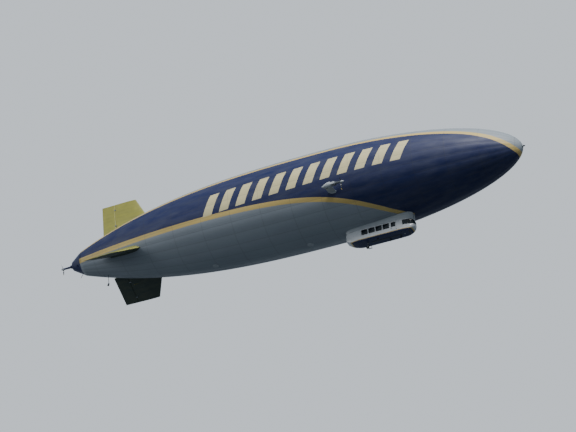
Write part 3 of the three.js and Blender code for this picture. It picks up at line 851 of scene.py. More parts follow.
def bolt(radius: float, height: float) -> Form:
    """A hexagon bolt head on a washer, standing on the plane z = 0.

    Args:
        radius: Radius to its corners.
        height: Height above the plane.

    Returns:
        The bolt.
    """
    washer = rod((0, 0, -height * 0.3), (0, 0, height * 0.3), radius * 1.25, 12)
    head = rod((0, 0, height * 0.3), (0, 0, height), radius, 6, edge=radius * 0.12)
    return join_forms([washer, head])


def sideways(form: Form, side: int) -> Form:
    """Turns a form that stands on z = 0 so that it points to port (1) or starboard (-1)."""
    return turn(form, about(-90 * side, "X"))


def dome_lamp(radius: float, height: float) -> Form:
    """A lamp's lens on the plane z = 0: a low drum with a domed top.

    Args:
        radius: Radius of the drum.
        height: Height of the top.

    Returns:
        The lens.
    """
    wall = height * 0.4
    steps = [math.pi * i / 14 for i in range(7)]
    arc = [(radius * math.cos(a), wall + (height - wall) * math.sin(a)) for a in steps]
    return spun([(0.0, 0.0), (radius, 0.0), *arc, (0.0, height)], 28)


def ellipse_ring(x: float, half: float, top: float, bottom: float, count: int = 48) -> Ring:
    """An upright ellipse across the ship at x, between two heights."""
    middle, rise = (top + bottom) / 2, (top - bottom) / 2
    return [Vector((x, half * math.cos(a), middle + rise * math.sin(a))) for a in turns(count)]


def rounded_path(half_wide: float, half_high: float, radius: float, steps: int = 6) -> Path:
    """Points around a rounded rectangle with the outward direction at each.

    Args:
        half_wide: Half its width.
        half_high: Half its height.
        radius: Radius of its corners.
        steps: Steps across each corner.

    Returns:
        Each point with its direction.
    """
    path = []
    for side, rise, start in ((1, 1, 0), (-1, 1, 90), (-1, -1, 180), (1, -1, 270)):
        corner = Vector((side * (half_wide - radius), rise * (half_high - radius)))
        for i in range(steps + 1):
            a = math.radians(start + 90 * i / steps)
            way = Vector((math.cos(a), math.sin(a)))
            path.append((corner + way * radius, way))
    return path


def rounded_ring(x: float, half: float, top: float, bottom: float, radius: float, steps: int = 7) -> Ring:
    """A rectangle across the ship at x with rounded corners.

    Args:
        x: Its place.
        half: Half its width.
        top: Its upper height.
        bottom: Its lower height.
        radius: Radius of its corners.
        steps: Steps across each corner.

    Returns:
        The ring.
    """
    middle = (top + bottom) / 2
    path = rounded_path(half, (top - bottom) / 2, radius, steps)
    return [Vector((x, point.x, middle + point.y)) for point, _ in path]


@dataclass
class Hull:
    """The pressurised hull: its outline, its gores and the lines that its colours follow."""

    radius: float = 3.54
    fore_length: float = 14.25
    fore_edge: float = 1.95
    fore_round: float = 0.53
    aft_length: float = 21.75
    aft_taper: float = 0.81
    aft_curve: float = 2.9
    stern: float = 35.3
    gores: int = 24
    steps_per_gore: int = 8
    rings: int = 176
    crown: float = 0.014
    # Each painted line: its angle aft in degrees, its drop, its fade, where it starts and its power.
    lower: Row = (-15.0, -75.0, 4.0, 8.9, 1.0)
    upper: Row = (43.0, -133.0, 0.7, 0.25, 0.5)
    motif_start: float = 8.45
    motif_end: float = 23.6
    motif_lean: float = 0.45
    motif_rise: tuple[float, float] = (8.0, 0.6)
    valve_stations: tuple[tuple[str, float], ...] = (("fore", 17.0), ("aft", 24.6))
    line_samples: int = 1600

    def radius_at(self, station: float) -> float:
        """Hull radius at a station.

        Args:
            station: The station.

        Returns:
            The radius.
        """
        if station < self.fore_length:
            ahead = 1 - max(station, 0.0) / self.fore_length
            return self.radius * (1 - ahead ** self.fore_edge) ** self.fore_round
        astern = (station - self.fore_length) / self.aft_length
        return self.radius * (1 - self.aft_taper * astern ** self.aft_curve)

    def stations(self) -> list[float]:
        """Stations of the mesh's rings, closer together at the bow.

        Returns:
            The stations from the apex aft.
        """
        shares = [i / self.rings for i in range(self.rings + 1)]
        eased = [s - 0.55 * math.sin(math.pi * s) / math.pi * (1 - s) for s in shares]
        return [self.stern * share ** 1.25 for share in eased]

    def build(self) -> None:
        """Makes the skin with its guides, then what stands on it."""
        profile = [(self.radius_at(s), at(s)) for s in self.stations()]
        form = turn(spun(profile, self.gores * self.steps_per_gore), about(90, "Y"))
        self.crown_gores(form)
        self.turn_rim(form)
        skin = piece("hull_skin", form, LAMINATE, replaces=("envelope", "nose_cone"), angle=80)
        self.draw_guides(skin.data)
        self.mooring_probe()
        self.nose_dish()
        self.valves()
        self.beacon()

    def crown_gores(self, form: Form) -> None:
        """Lifts each gore between its seams, as pressure does.

        Args:
            form: The skin.
        """
        width = 2 * math.pi / self.gores
        for vert in form.verts:
            x, y, z = vert.co
            radius = math.hypot(y, z)
            if radius > 1e-4:
                share = (math.atan2(z, y) % width) / width
                lift = self.crown * 4 * share * (1 - share) * smooth(radius / 1.5)
                vert.co = (x, y * (1 + lift / radius), z * (1 + lift / radius))

    def turn_rim(self, form: Form) -> None:
        """Turns the skin's open end in behind the stern cone.

        Args:
            form: The skin.
        """
        loose = [e for e in form.edges if e.is_boundary]
        made = bmesh.ops.extrude_edge_only(form, edges=loose)["geom"]
        fresh = [g for g in made if isinstance(g, bmesh.types.BMVert)]
        bmesh.ops.scale(form, vec=(1, 0.96, 0.96), verts=fresh)

    def draw_guides(self, mesh: bpy.types.Mesh) -> None:
        """Writes on each point how far it lies from every painted line and seam.

        Args:
            mesh: The finished skin.
        """
        width = 2 * math.pi / self.gores
        rows: dict[str, list[float]] = {name: [] for name in GUIDES}
        length = self.motif_end - self.motif_start
        shapes = zip(GUIDES, (self.lower, self.upper))
        lines = [(name, shape, self.line_points(shape)) for name, shape in shapes]
        for vert in mesh.vertices:
            x, y, z = vert.co
            station = LIFT_STATION - x
            radius = max(math.hypot(y, z), 1e-4)
            rise = math.atan2(z, abs(y))
            for name, shape, points in lines:
                away = points.find((x, abs(y), z))[2]
                rows[name].append(away if rise > self.line_angle(station, shape) else -away)
            middle = mix(*self.motif_rise, (station - self.motif_start) / length)
            up = (rise - math.radians(middle)) * radius
            along = station + self.motif_lean * up - self.motif_start
            rows["motif_along"].append(along)
            rows["motif_up"].append(up)
            rows["motif_inside"].append(min(along + 0.5, length + 0.5 - along))
            seam = (math.atan2(z, y) % width) / width
            rows["seam"].append(min(seam, 1 - seam) * width * radius)
        for name, values in rows.items():
            mesh.attributes.new(name, "FLOAT", "POINT").data.foreach_set("value", values)

    def line_angle(self, station: float, shape: Row) -> float:
        """Angle of a painted line above the horizontal at a station, in radians.

        Args:
            station: The station.
            shape: The line's shape.

        Returns:
            The angle.
        """
        aft, drop, fade, start, power = shape
        if station <= start:
            return -math.pi
        return math.radians(aft + drop * math.exp(-((station - start) / fade) ** power))

    def line_points(self, shape: Row) -> KDTree:
        """Points close together along a painted line on the port side, ready to search.

        Args:
            shape: The line's shape.

        Returns:
            The points as a search tree.
        """
        start, count = shape[3], self.line_samples
        tree = KDTree(count)
        for i in range(count):
            station = start + 1e-6 + (self.stern - start) * (i / (count - 1)) ** 2
            radius, angle = self.radius_at(station), self.line_angle(station, shape)
            tree.insert((at(station), radius * math.cos(angle), radius * math.sin(angle)), i)
        tree.balance()
        return tree

    def mooring_probe(self) -> None:
        """The mast fitting on the apex: a flange with bolts, a neck, a collar and a latch head."""
        profile = [
            (0.0, -0.2), (0.026, -0.2), (0.034, -0.193), (0.035, -0.178), (0.03, -0.168), (0.03, -0.158),
            (0.05, -0.148), (0.06, -0.132), (0.062, -0.12), (0.056, -0.112), (0.056, -0.094), (0.062, -0.088),
            (0.062, -0.06), (0.072, -0.044), (0.09, -0.03), (0.12, -0.022), (0.142, -0.014), (0.15, -0.006),
            (0.15, 0.022), (0.146, 0.028), (0.0, 0.028),
        ]
        form = spun([(radius, at(station)) for radius, station in profile], 40)
        studs = around(8, lambda: move(bolt(0.009, 0.012), (0.118, 0, at(-0.022))), 22.5)
        pins = around(4, lambda: rod((0.05, 0, at(-0.076)), (0.072, 0, at(-0.076)), 0.007, 10))
        form = turn(join_forms([form, studs, pins]), about(90, "Y"))
        piece("mooring_head", form, MACHINED, replaces=("mooring_probe",))

    def nose_dish(self) -> None:
        """The stiff dish on which the mooring fitting stands, in the skin's colours, with its rivets."""
        edge, proud = 0.46, 0.006
        stations = [edge * (i / 14) ** 1.6 for i in range(1, 15)]
        outer = [(self.radius_at(s) + proud * 0.6, at(s - proud)) for s in stations]
        foot = edge + 0.012
        form = spun([*outer, (self.radius_at(foot), at(foot))], 72)
        x, radius = at(0.42), self.radius_at(0.43) + 0.005
        rivets = around(36, lambda: rod((radius, 0, x - 0.004), (radius, 0, x + 0.004), 0.008, 8))
        dish = piece("nose_dish", turn(join_forms([form, rivets]), about(90, "Y")), LAMINATE)
        self.draw_guides(dish.data)

    def valves(self) -> None:
        """Two gas valves on the keel line, each a spoked plate in a bolted ring."""
        for name, station in self.valve_stations:
            ring = spun([
                (0.0, -0.03), (0.15, -0.03), (0.152, -0.024), (0.17, -0.024), (0.172, -0.038), (0.19, -0.04),
                (0.222, -0.03), (0.23, -0.02), (0.23, 0.05), (0.0, 0.05),
            ], 48)
            spokes = around(6, lambda: block((0.02, -0.008, -0.037), (0.15, 0.008, -0.028), 0.003))
            hub = spun([(0.0, -0.044), (0.02, -0.044), (0.028, -0.038), (0.028, -0.028), (0.0, -0.028)], 20)
            studs = around(12, lambda: move(turn(bolt(0.007, 0.01), about(180, "X")), (0.205, 0, -0.034)))
            place = (at(station), 0, 0.004 - self.radius_at(station))
            form = move(join_forms([ring, spokes, hub, studs]), place)
            piece(f"valve_{name}", form, GREY_PAINT, replaces=(f"belly_valve_{name}",))

    def beacon(self) -> None:
        """The red beacon on the hull's top, on its round foot."""
        top = (at(self.fore_length), 0, self.radius)
        foot = spun([(0.0, -0.03), (0.06, -0.03), (0.06, 0.004), (0.054, 0.01), (0.0, 0.01)], 28)
        piece("beacon_foot", move(foot, top), MACHINED)
        piece("beacon_lens", move(dome_lamp(0.036, 0.05), top), RED_LENS, replaces=("beacon",))


@dataclass
class Fin:
    """One fixed fin with its hinged rudder, both ribbed under a fabric cover."""

    name: str
    degrees: float
    hull: Hull
    root: float = 1.5
    tip: float = 4.4
    rounding: float = 0.04
    root_bow: float = 29.3
    tip_bow: float = 30.8
    hinge: float = 32.6
    stern: float = 33.6
    root_thick: float = 0.36
    tip_thick: float = 0.18
    hinge_share: float = 0.66
    hinge_radii: tuple[float, float] = (2.5, 3.9)
    horn: float = 2.85
    running: float = 0.006
    rudder_root: float = 1.9
    rib_pitch: float = 0.3
    sink: float = 0.005
    # Columns: share of the chord, share of the thickness.
    outline: tuple[Row, ...] = (
        (0.0, 0.0), (0.008, 0.11), (0.03, 0.22), (0.14, 0.4), (0.4, 0.5), (0.7, 0.44), (1.0, 0.33)
    )
    side: list[Row] = field(init=False)

    def __post_init__(self) -> None:
        """Refines the side's curve once."""
        self.side = refine(self.outline, 4)

    def place(self, form: Form) -> Form:
        """Turns an upright fin's form to this fin's place."""
        return turn(form, about(self.degrees, "X"))

    def share(self, radius: float) -> float:
        """Share of the way from root to tip."""
        return (radius - self.root) / (self.tip - self.root)

    def thick_at(self, radius: float) -> float:
        """Full thickness at a distance from the axis."""
        return mix(self.root_thick, self.tip_thick, self.share(radius))

    def nose_at(self, radius: float) -> float:
        """Radius of the rudder's rounded front edge."""
        return self.thick_at(radius) * self.hinge_share / 2

    def chord_at(self, radius: float) -> tuple[float, float]:
        """Stations of the fin's leading and trailing edge."""
        bow = mix(self.root_bow, self.tip_bow, self.share(radius))
        return bow, self.hinge - self.nose_at(radius) - self.running

    def half_thickness(self, station: float, radius: float) -> float:
        """Half the fin's thickness at a station and a distance from the axis.

        Args:
            station: The station.
            radius: Distance from the axis.

        Returns:
            Half the thickness, or 0 ahead of the fin.
        """
        bow, stern = self.chord_at(radius)
        if station <= bow:
            return 0.0
        return between(self.side, (station - bow) / (stern - bow))[1] * self.thick_at(radius)

    def heights(self, root: float) -> list[tuple[float, float]]:
        """Distances from the axis and slimness, close at each rib and at the rounded tip.

        Args:
            root: Where the piece starts.

        Returns:
            A distance and a share of the full width for each section.
        """
        top = self.tip - self.rounding
        count = round((top - root) / self.rib_pitch) * 6
        rows = [(mix(root, top, i / count), 1.0) for i in range(count)]
        for i in range(7):
            a = math.pi / 2 * i / 6
            rows.append((top + self.rounding * math.sin(a), 0.45 + 0.55 * math.cos(a)))
        return rows

    def rib_sink(self, radius: float, root: float) -> float:
        """How far the cover sinks between two ribs.

        Args:
            radius: Distance from the axis.
            root: Where the first rib stands.

        Returns:
            The depth.
        """
        span = self.tip - self.rounding - root
        ribs = round(span / self.rib_pitch)
        share = (radius - root) / span * ribs
        return self.sink * math.sin(math.pi * share) ** 2 if share < ribs else 0.0

    def fin_ring(self, radius: float, slim: float) -> Ring:
        """Section of the fixed fin, from its round leading edge to its open groove at the hinge.

        Args:
            radius: Distance from the axis.
            slim: Share of the full width.

        Returns:
            The section.
        """
        bow, stern = self.chord_at(radius)
        thick, sunk = self.thick_at(radius) * slim, self.rib_sink(radius, self.root)
        half = []
        for chord, width in self.side:
            ease = smooth(min(chord / 0.2, (1 - chord) / 0.08))
            half.append((at(mix(bow, stern, chord)), max(width * thick - sunk * ease, 0.0)))
        outline = [*half, (half[-1][0] + 0.03, 0.0), *((x, -y) for x, y in reversed(half[1:]))]
        return [Vector((x, y, radius)) for x, y in outline]

    def rudder_ring(self, radius: float, slim: float) -> Ring:
        """Section of the rudder, from its round front edge to its thin trailing edge.

        Args:
            radius: Distance from the axis.
            slim: Share of the full width.

        Returns:
            The section.
        """
        nose = self.nose_at(radius) * slim
        sunk = self.rib_sink(radius, self.rudder_root)
        steps = [math.radians(90 - 15 * i) for i in range(13)]
        arc = [(nose * math.cos(a), nose * math.sin(a)) for a in steps]
        sides = []
        for share in (0.12, 0.3, 0.5, 0.7, 0.85, 0.94, 1.0):
            ease = smooth(min(share / 0.1, (1 - share) / 0.2))
            sides.append(((self.hinge - self.stern) * share, mix(nose, 0.008, share) - sunk * ease))
        outline = [*reversed(sides), *arc, *((x, -y) for x, y in sides)]
        return [Vector((at(self.hinge) + x, y, radius)) for x, y in outline]

    def build(self) -> None:
        """Makes the fin, its root fairing and hinges, and the rudder with its horn."""
        fin = swept([self.fin_ring(r, slim) for r, slim in self.heights(self.root)])
        piece(f"cover_{self.name}", self.place(fin), COVER, replaces=(f"fin_{self.name}",))
        rudder = swept([self.rudder_ring(r, slim) for r, slim in self.heights(self.rudder_root)])
        body = f"{self.name}_rudder"
        piece(f"rudder_cover_{self.name}", self.place(rudder), COVER, body, (f"rudder_{self.name}",))
        self.fairing()
        self.hinges()
        self.actuator(body)

    def fairing(self) -> None:
        """A concave strip that closes the corner between the fin's root and the hull."""
        bow = self.root_bow
        for _ in range(8):
            bow = self.chord_at(self.hull.radius_at(bow))[0]
        rings = []
        count = 30
        for i in range(count + 1):
            station = mix(bow - 0.14, self.hinge - 0.17, i / count)
            skin = self.hull.radius_at(station)
            reach = 0.1 * smooth(i / 6)
            half = self.half_thickness(station, skin + reach)
            # Columns: shares of the reach, outward from the fin and up from the hull.
            curve = ((1.15, -0.35), (0.95, 0.03), (0.5, 0.16), (0.2, 0.42), (0.06, 0.8), (0.0, 1.15))
            spread = [(half + reach * out + 0.003, skin + reach * up + 0.003) for out, up in curve]
            outline = [*spread, *((-y, z) for y, z in reversed(spread))]
            rings.append([Vector((at(station), y, z)) for y, z in outline])
        piece(f"fin_fairing_{self.name}", self.place(swept(rings)), COVER)

    def hinges(self) -> None:
        """Hinge tabs in the groove and bolted plates on both sides of it."""
        parts = []
        for radius in self.hinge_radii:
            nose = self.nose_at(radius)
            front = at(self.hinge) + nose + 0.09
            tab = at(self.hinge) + nose + 0.0003
            parts.append(block((tab, -0.02, radius - 0.03), (tab + 0.06, 0.02, radius + 0.03), 0.004))
            for side in (-1, 1):
                near, far = side * (nose + 0.012), side * (nose + 0.02)
                foot = at(self.hinge) + 0.014
                parts.append(block((foot, near, radius - 0.04), (front, far, radius + 0.04), 0.003))
                for x in (front - 0.025, front - 0.055):
                    parts.append(move(sideways(bolt(0.007, 0.007), side), (x, far, radius)))
        piece(f"hinge_plates_{self.name}", self.place(join_forms(parts)), MACHINED)

    def actuator(self, body: str) -> None:
        """The rudder actuator's blister on the fin, and the rudder's horn with its eye.

        Args:
            body: The rudder's body.
        """
        radius, sunk = self.horn, 0.012
        # Columns: share of the blister's length, how far it stands proud.
        rows = refine(((0.0, 0.002), (0.25, 0.045), (0.6, 0.055), (1.0, 0.004)), 6)
        rings = []
        for share, proud in rows:
            station = mix(self.hinge - 0.75, self.hinge - 0.2, share)
            x, base = at(station), self.half_thickness(station, radius) - sunk
            rings.append([
                Vector((x, base + max(math.sin(a), 0.0) * (proud + sunk), radius + 0.09 * math.cos(a)))
                for a in turns(20)
            ])
        piece(f"actuator_blister_{self.name}", self.place(swept(rings)), COVER)
        x = at(self.hinge) - 0.12
        y = mix(self.nose_at(radius), 0.008, 0.12) - 0.02
        corners = ((0.06, 0.0), (-0.06, 0.0), (-0.02, 0.09), (0.015, 0.095))
        plate = swept([
            [Vector((x + dx, y + dy, radius + dz)) for dx, dy in corners] for dz in (-0.008, 0.008)
        ])
        soften(plate, sharp_edges(plate), 0.003)
        eye = rod((x, y + 0.085, radius - 0.014), (x, y + 0.085, radius + 0.014), 0.014, 14, edge=0.002)
        piece(f"rudder_horn_{self.name}", self.place(join_forms([plate, eye])), MACHINED, body)


@dataclass
class Empennage:
    """Three fins at even angles, and the tail lamp."""

    hull: Hull
    lamp_station: float = 31.6
    lamp_height: float = 4.4003

    def build(self) -> None:
        """Builds the fins and the lamp on the top fin's tip."""
        for name, degrees in (("top", 0.0), ("port", -120.0), ("starboard", 120.0)):
            Fin(name, degrees, self.hull).build()
        centre = (at(self.lamp_station), 0, self.lamp_height)
        foot = spun([(0.0, -0.01), (0.03, -0.01), (0.03, 0.004), (0.0, 0.004)], 24)
        piece("tail_lamp_foot", move(foot, centre), MACHINED)
        piece("tail_lamp_lens", move(dome_lamp(0.022, 0.036), centre), CLEAR_LENS, replaces=("tail_lamp",))


@dataclass
class Propeller:
    """A three-bladed propeller with a painted spinner on its shaft."""

    node: str
    body: str
    centre: Point
    facing: Facing
    radius: float
    spinner: float
    shaft: float = 0.04
    blades: int = 3
    # Columns, as shares of the radius: place, chord and thickness; then the pitch in degrees.
    sections: tuple[Row, ...] = (
        (0.08, 0.09, 0.08, 58), (0.2, 0.135, 0.05, 49), (0.32, 0.17, 0.035, 40), (0.5, 0.172, 0.027, 32),
        (0.7, 0.15, 0.02, 25), (0.9, 0.108, 0.013, 19.5), (0.975, 0.075, 0.01, 17.4), (1.0, 0.028, 0.007, 17),
    )

    def blade(self) -> Form:
        """One blade along +X, with a round cuff at its root.

        Returns:
            The blade.
        """
        chords = [0.0, 0.012, 0.05, 0.12, 0.25, 0.4, 0.55, 0.7, 0.85, 0.96, 1.0]
        full = 0.25
        thick = [
            2 * (math.sqrt(c) - c) if c < full else 0.5 * (1 - ((c - full) / (1 - full)) ** 1.7)
            for c in chords
        ]
        side = list(zip(chords, thick))
        section = [*side, *((c, -t) for c, t in reversed(side[1:-1]))]
        rings = []
        for place, chord, depth, pitch in refine(self.sections, 4):
            lean = about(pitch, "X")
            rings.append([
                lean @ Vector((place, (c - 0.5) * chord, t * depth)) * self.radius for c, t in section
            ])
        root = self.spinner
        cuff = rod((root * 0.6, 0, 0), (root * 1.32, 0, 0), self.radius * 0.042, 18, edge=0.003)
        return join_forms([swept(rings), cuff])

    def build(self) -> None:
        """Makes the blades, whose points carry their reach for the painted tips, and the spinner."""
        blades = turn(around(self.blades, self.blade), self.facing.value)
        made = piece(f"{self.node}_blades", move(blades, self.centre), BLADE_LACQUER, self.body, (self.node,))
        axis = self.facing.value @ Vector((0, 0, 1))
        values = []
        for vert in made.data.vertices:
            off = vert.co - Vector(self.centre)
            values.append((off - axis * off.dot(axis)).length / self.radius)
        made.data.attributes.new("reach", "FLOAT", "POINT").data.foreach_set("value", values)
        s = self.spinner
        nose = refine(((-2.1, 0.0), (-2.06, 0.16), (-1.9, 0.35), (-1.2, 0.75), (-0.3, 1.0)), 5)
        skirt = ((1.0, -0.3), (0.97, -0.33), (0.97, -0.4), (1.0, -0.43), (1.0, -0.52), (0.97, -0.55))
        profile = [(radius * s, -depth * s) for depth, radius in nose]
        profile += [(radius * s, height * s) for radius, height in skirt]
        end = -0.55 * s - 0.01
        shell = spun([*profile, (self.shaft, -0.55 * s), (self.shaft, end), (0.0, end)], 40)
        screws = around(6, lambda: rod((0.9 * s, 0, -0.2 * s), (1.015 * s, 0, -0.2 * s), 0.006, 10), 30)
        form = move(turn(join_forms([shell, screws]), self.facing.value), self.centre)
        piece(f"{self.node}_spinner", form, GREY_PAINT, self.body)


@dataclass
class SwivelHead:
    """A geared head: a drum on a crosswise axis with a neck that carries the propeller's shaft."""

    node: str
    body: str
    centre: Point
    forward: int
    drum: float
    half: float
    boss: float
    neck: float
    tip: float
    length: float
    finish: Finish = CAST

    def build(self) -> None:
        """Makes the drum, its covers and the ribbed neck."""
        form = join_forms([self.drum_form(), self.neck_form()])
        if self.forward < 0:
            turn(form, about(180, "Z"))
        piece(f"{self.node}_head", move(form, self.centre), self.finish, self.body, (self.node,))

    def drum_form(self) -> Form:
        """The drum across the ship, with bolted covers and its two stub shafts.

        Returns:
            The drum.
        """
        r, h = self.drum, self.half
        half_profile = [
            (r * 0.55, h), (r * 0.57, h - 0.004), (r * 0.84, h - 0.004), (r * 0.86, h - 0.009),
            (r * 0.97, h - 0.012), (r, h - 0.022), (r, h * 0.25), (r * 0.975, h * 0.2),
        ]
        profile = [(0.0, h), *half_profile, *((a, -b) for a, b in reversed(half_profile)), (0.0, -h)]
        end = h + 0.0097
        shafts = spun([(0.0, -end), (self.boss, -end), (self.boss, end), (0.0, end)], 28)
        cover = around(8, lambda: move(bolt(0.008, 0.006), (r * 0.7, 0, h - 0.004)), 22.5)
        other = turn(cover.copy(), about(180, "X"))
        return turn(join_forms([spun(profile, 44), shafts, cover, other]), about(90, "X"))

    def neck_form(self) -> Form:
        """The neck along +X: a flange by the drum, six ribs and a bolted end.

        Returns:
            The neck.
        """
        r, end = self.drum, self.length
        shell = spun([
            (0.0, 0.04), (self.neck, 0.04), (self.neck, r * 0.9), (self.neck * 1.08, r * 1.02),
            (self.neck * 1.08, r * 1.12), (self.neck * 0.98, r * 1.16), (self.tip * 1.02, end - 0.05),
            (self.tip * 1.18, end - 0.03), (self.tip * 1.18, end - 0.012), (self.tip, end - 0.006),
            (self.tip, end), (0.0, end),
        ], 36)
        ribs = around(6, lambda: self.rib(r * 1.1, end - 0.03), 30)
        foot = (self.tip * 1.09, 0, end - 0.03)
        studs = around(8, lambda: move(turn(bolt(0.006, 0.006), about(180, "X")), foot))
        return turn(join_forms([shell, ribs, studs]), about(90, "Y"))

    def rib(self, start: float, end: float) -> Form:
        """One stiffening rib along the neck, leaning with its taper.

        Args:
            start: Distance of its near end from the axis.
            end: Distance of its far end.

        Returns:
            The rib.
        """
        rings = []
        for height, radius in ((start, self.neck * 1.12), (end, self.tip * 1.14)):
            corners = ((radius * 0.8, -0.005), (radius, -0.004), (radius, 0.004), (radius * 0.8, 0.005))
            rings.append([Vector((x, y, height)) for x, y in corners])
        return swept(rings)


def cheek_plate(radius: float, back: float, inner: float, thick: float, side: int, forward: int) -> Form:
    """A plate with a round front that carries one end of a swivel drum.

    Args:
        radius: Radius about the swivel's axis.
        back: How far it reaches behind the axis.
        inner: Its face on the drum's side, as a distance from the middle.
        thick: Its thickness.
        side: 1 to port, -1 to starboard.
        forward: 1 if the head points to the bow, -1 to the stern.

    Returns:
        The plate about the axis at the origin, with its bearing cap and bolts.
    """
    angles = [math.radians(90 - 10 * i) for i in range(19)]
    outline = [(radius * math.cos(a), radius * math.sin(a)) for a in angles]
    outline += [(-back, -radius * 0.94), (-back, radius * 0.94)]
    rings = [[Vector((x * forward, side * y, z)) for x, z in outline] for y in (inner, inner + thick)]
    plate = swept(rings)
    soften(plate, sharp_edges(plate), 0.007, 3)
    cap = spun([
        (0.0, 0.014), (radius * 0.5, 0.014), (radius * 0.56, 0.008), (radius * 0.6, -0.004), (0.0, -0.004)
    ], 28)
    studs = around(6, lambda: move(bolt(0.006, 0.007), (radius * 0.78, 0, 0)))
    trim = sideways(join_forms([cap, studs]), side)
    return join_forms([plate, move(trim, (0, side * (inner + thick), 0))])


@dataclass
class SideEngine:
    """One of the two engines on outriggers: nacelle, strut, swivelling head, propeller and lamp."""

    side: Side
    station: float = 13.3
    reach: float = 4.2
    drop: float = 1.6
    # Columns: x from the drum's axis, half width, top, bottom.
    sections: tuple[Row, ...] = (
        (-0.98, 0.03, -0.04, -0.08), (-0.955, 0.058, -0.018, -0.1), (-0.86, 0.104, 0.035, -0.142),
        (-0.7, 0.158, 0.125, -0.19), (-0.48, 0.19, 0.205, -0.215), (-0.3, 0.185, 0.19, -0.195),
        (-0.215, 0.16, 0.105, -0.15), (-0.19, 0.13, 0.06, -0.112), (-0.178, 0.112, 0.04, -0.092),
    )
    # Columns: depth behind the leading edge, half the thickness.
    strut_side: tuple[Row, ...] = (
        (0.0, 0.0), (0.006, 0.013), (0.025, 0.03), (0.14, 0.058), (0.3, 0.055), (0.58, 0.003)
    )

    @property
    def centre(self) -> Point:
        """Middle of the swivel drum."""
        return (at(self.station), self.side.value * self.reach, -self.drop)

    def build(self) -> None:
        """Makes every piece of the engine."""
        label, s = self.side.label, self.side.value
        self.cowling()
        self.exhaust()
        self.strut()
        refinish(f"engine_{label}", CAST)
        SwivelHead(
            f"swivel_{label}", f"{label}_head", self.centre, 1, drum=0.15, half=0.115, boss=0.06,
            neck=0.085, tip=0.065, length=0.4847,
        ).build()
        x, y, z = self.centre
        hub = (x + 0.55, y, z)
        Propeller(
            f"propeller_{label}", f"{label}_prop", hub, Facing.BOW, radius=0.675, spinner=0.1
        ).build()
        lens = move(sideways(dome_lamp(0.018, 0.026), s), (x - 0.48, y + s * 0.1903, z - 0.005))
        finish = RED_LENS if self.side is Side.PORT else GREEN_LENS
        piece(f"side_lamp_{label}", lens, finish, replaces=(f"lamp_{label}",))

    def place(self, name: str, parts: list[Form], finish: Finish, *nodes: str) -> None:
        """Makes a piece of parts drawn about the drum, in place of this side's nodes."""
        form, label = move(join_forms(parts), self.centre), self.side.label
        piece(f"{name}_{label}", form, finish, replaces=[f"{node}_{label}" for node in nodes])

    def cowling(self) -> None:
        """The nacelle's cowling with its seams, louvres, scoop, latches and cheeks."""
        s = self.side.value
        rows = refine(self.sections, 6)
        seamed = grooved(rows, (-0.66, -0.36), 0.0022, 0.0035, (1, 1, -1))
        parts = [swept([ellipse_ring(*row) for row in seamed]), self.scoop()]
        for i in range(5):
            x = -0.54 - 0.028 * i
            half = between(rows, x)[1]
            for side in (-1, 1):
                low = (x - 0.006, side * (half - 0.03), -0.055)
                parts.append(block(low, (x + 0.006, side * (half + 0.004), 0.045), 0.0025))
        for x in (-0.335, -0.385):
            for z in (0.05, -0.06):
                low = (x - 0.012, s * 0.165, z - 0.008)
                parts.append(block(low, (x + 0.012, s * 0.188, z + 0.008), 0.003))
        parts += [cheek_plate(0.095, 0.33, 0.125, 0.042, side, 1) for side in (-1, 1)]
        self.place("cowling", parts, GREY_PAINT, "nacelle")

    def scoop(self) -> Form:
        """The air intake on the cowling's top, open to the bow.

        Returns:
            The intake.
        """
        # Columns: x, half width, top, bottom, corner radius.
        rows = refine((
            (-0.52, 0.02, 0.206, 0.18, 0.008), (-0.42, 0.05, 0.228, 0.17, 0.02),
            (-0.33, 0.056, 0.238, 0.165, 0.02), (-0.3, 0.05, 0.232, 0.16, 0.018),
        ), 5)
        form = swept([rounded_ring(*row, 4) for row in rows])
        mouth = [f for f in form.faces if abs(f.calc_center_median().x + 0.3) < 1e-4]
        bmesh.ops.inset_region(form, faces=mouth, thickness=0.005, use_even_offset=True)
        bmesh.ops.translate(form, verts=list({v for f in mouth for v in f.verts}), vec=(-0.05, 0, 0))
        return form

    def exhaust(self) -> None:
        """Two pipes that bend aft under the cowling."""
        bend = (
            (-0.53, -0.17), (-0.532, -0.205), (-0.545, -0.232), (-0.57, -0.248), (-0.61, -0.256),
            (-0.68, -0.26),
        )
        parts = []
        for y in (-0.03, 0.03):
            parts.append(tube([(x, y, z) for x, z in bend], 0.019, 16))
            lip = spun([
                (0.012, 0.0), (0.022, 0.0), (0.022, 0.014), (0.016, 0.014), (0.016, 0.006), (0.012, 0.0),
            ], 18)
            parts.append(move(turn(lip, about(-90, "Y")), (-0.674, y, -0.26)))
        self.place("exhaust", parts, CAST)

    def strut_ring(self, inboard: float, grow: float) -> Ring:
        """Section of the strut at a distance inboard of the engine's middle.

        Args:
            inboard: The distance.
            grow: Growth of the section.

        Returns:
            The section.
        """
        middle, edge = -0.55, -0.26
        rows, long = refine(self.strut_side, 4), mix(0.75, 1.0, grow)
        upper = [(middle + (edge - depth - middle) * long, half * grow) for depth, half in rows]
        outline = [*upper, *((x, -z) for x, z in reversed(upper[1:]))]
        return [Vector((x, -self.side.value * inboard, z)) for x, z in outline]

    def strut(self) -> None:
        """The outrigger: one thick strut of wing section that flares into the hull, with its collar."""
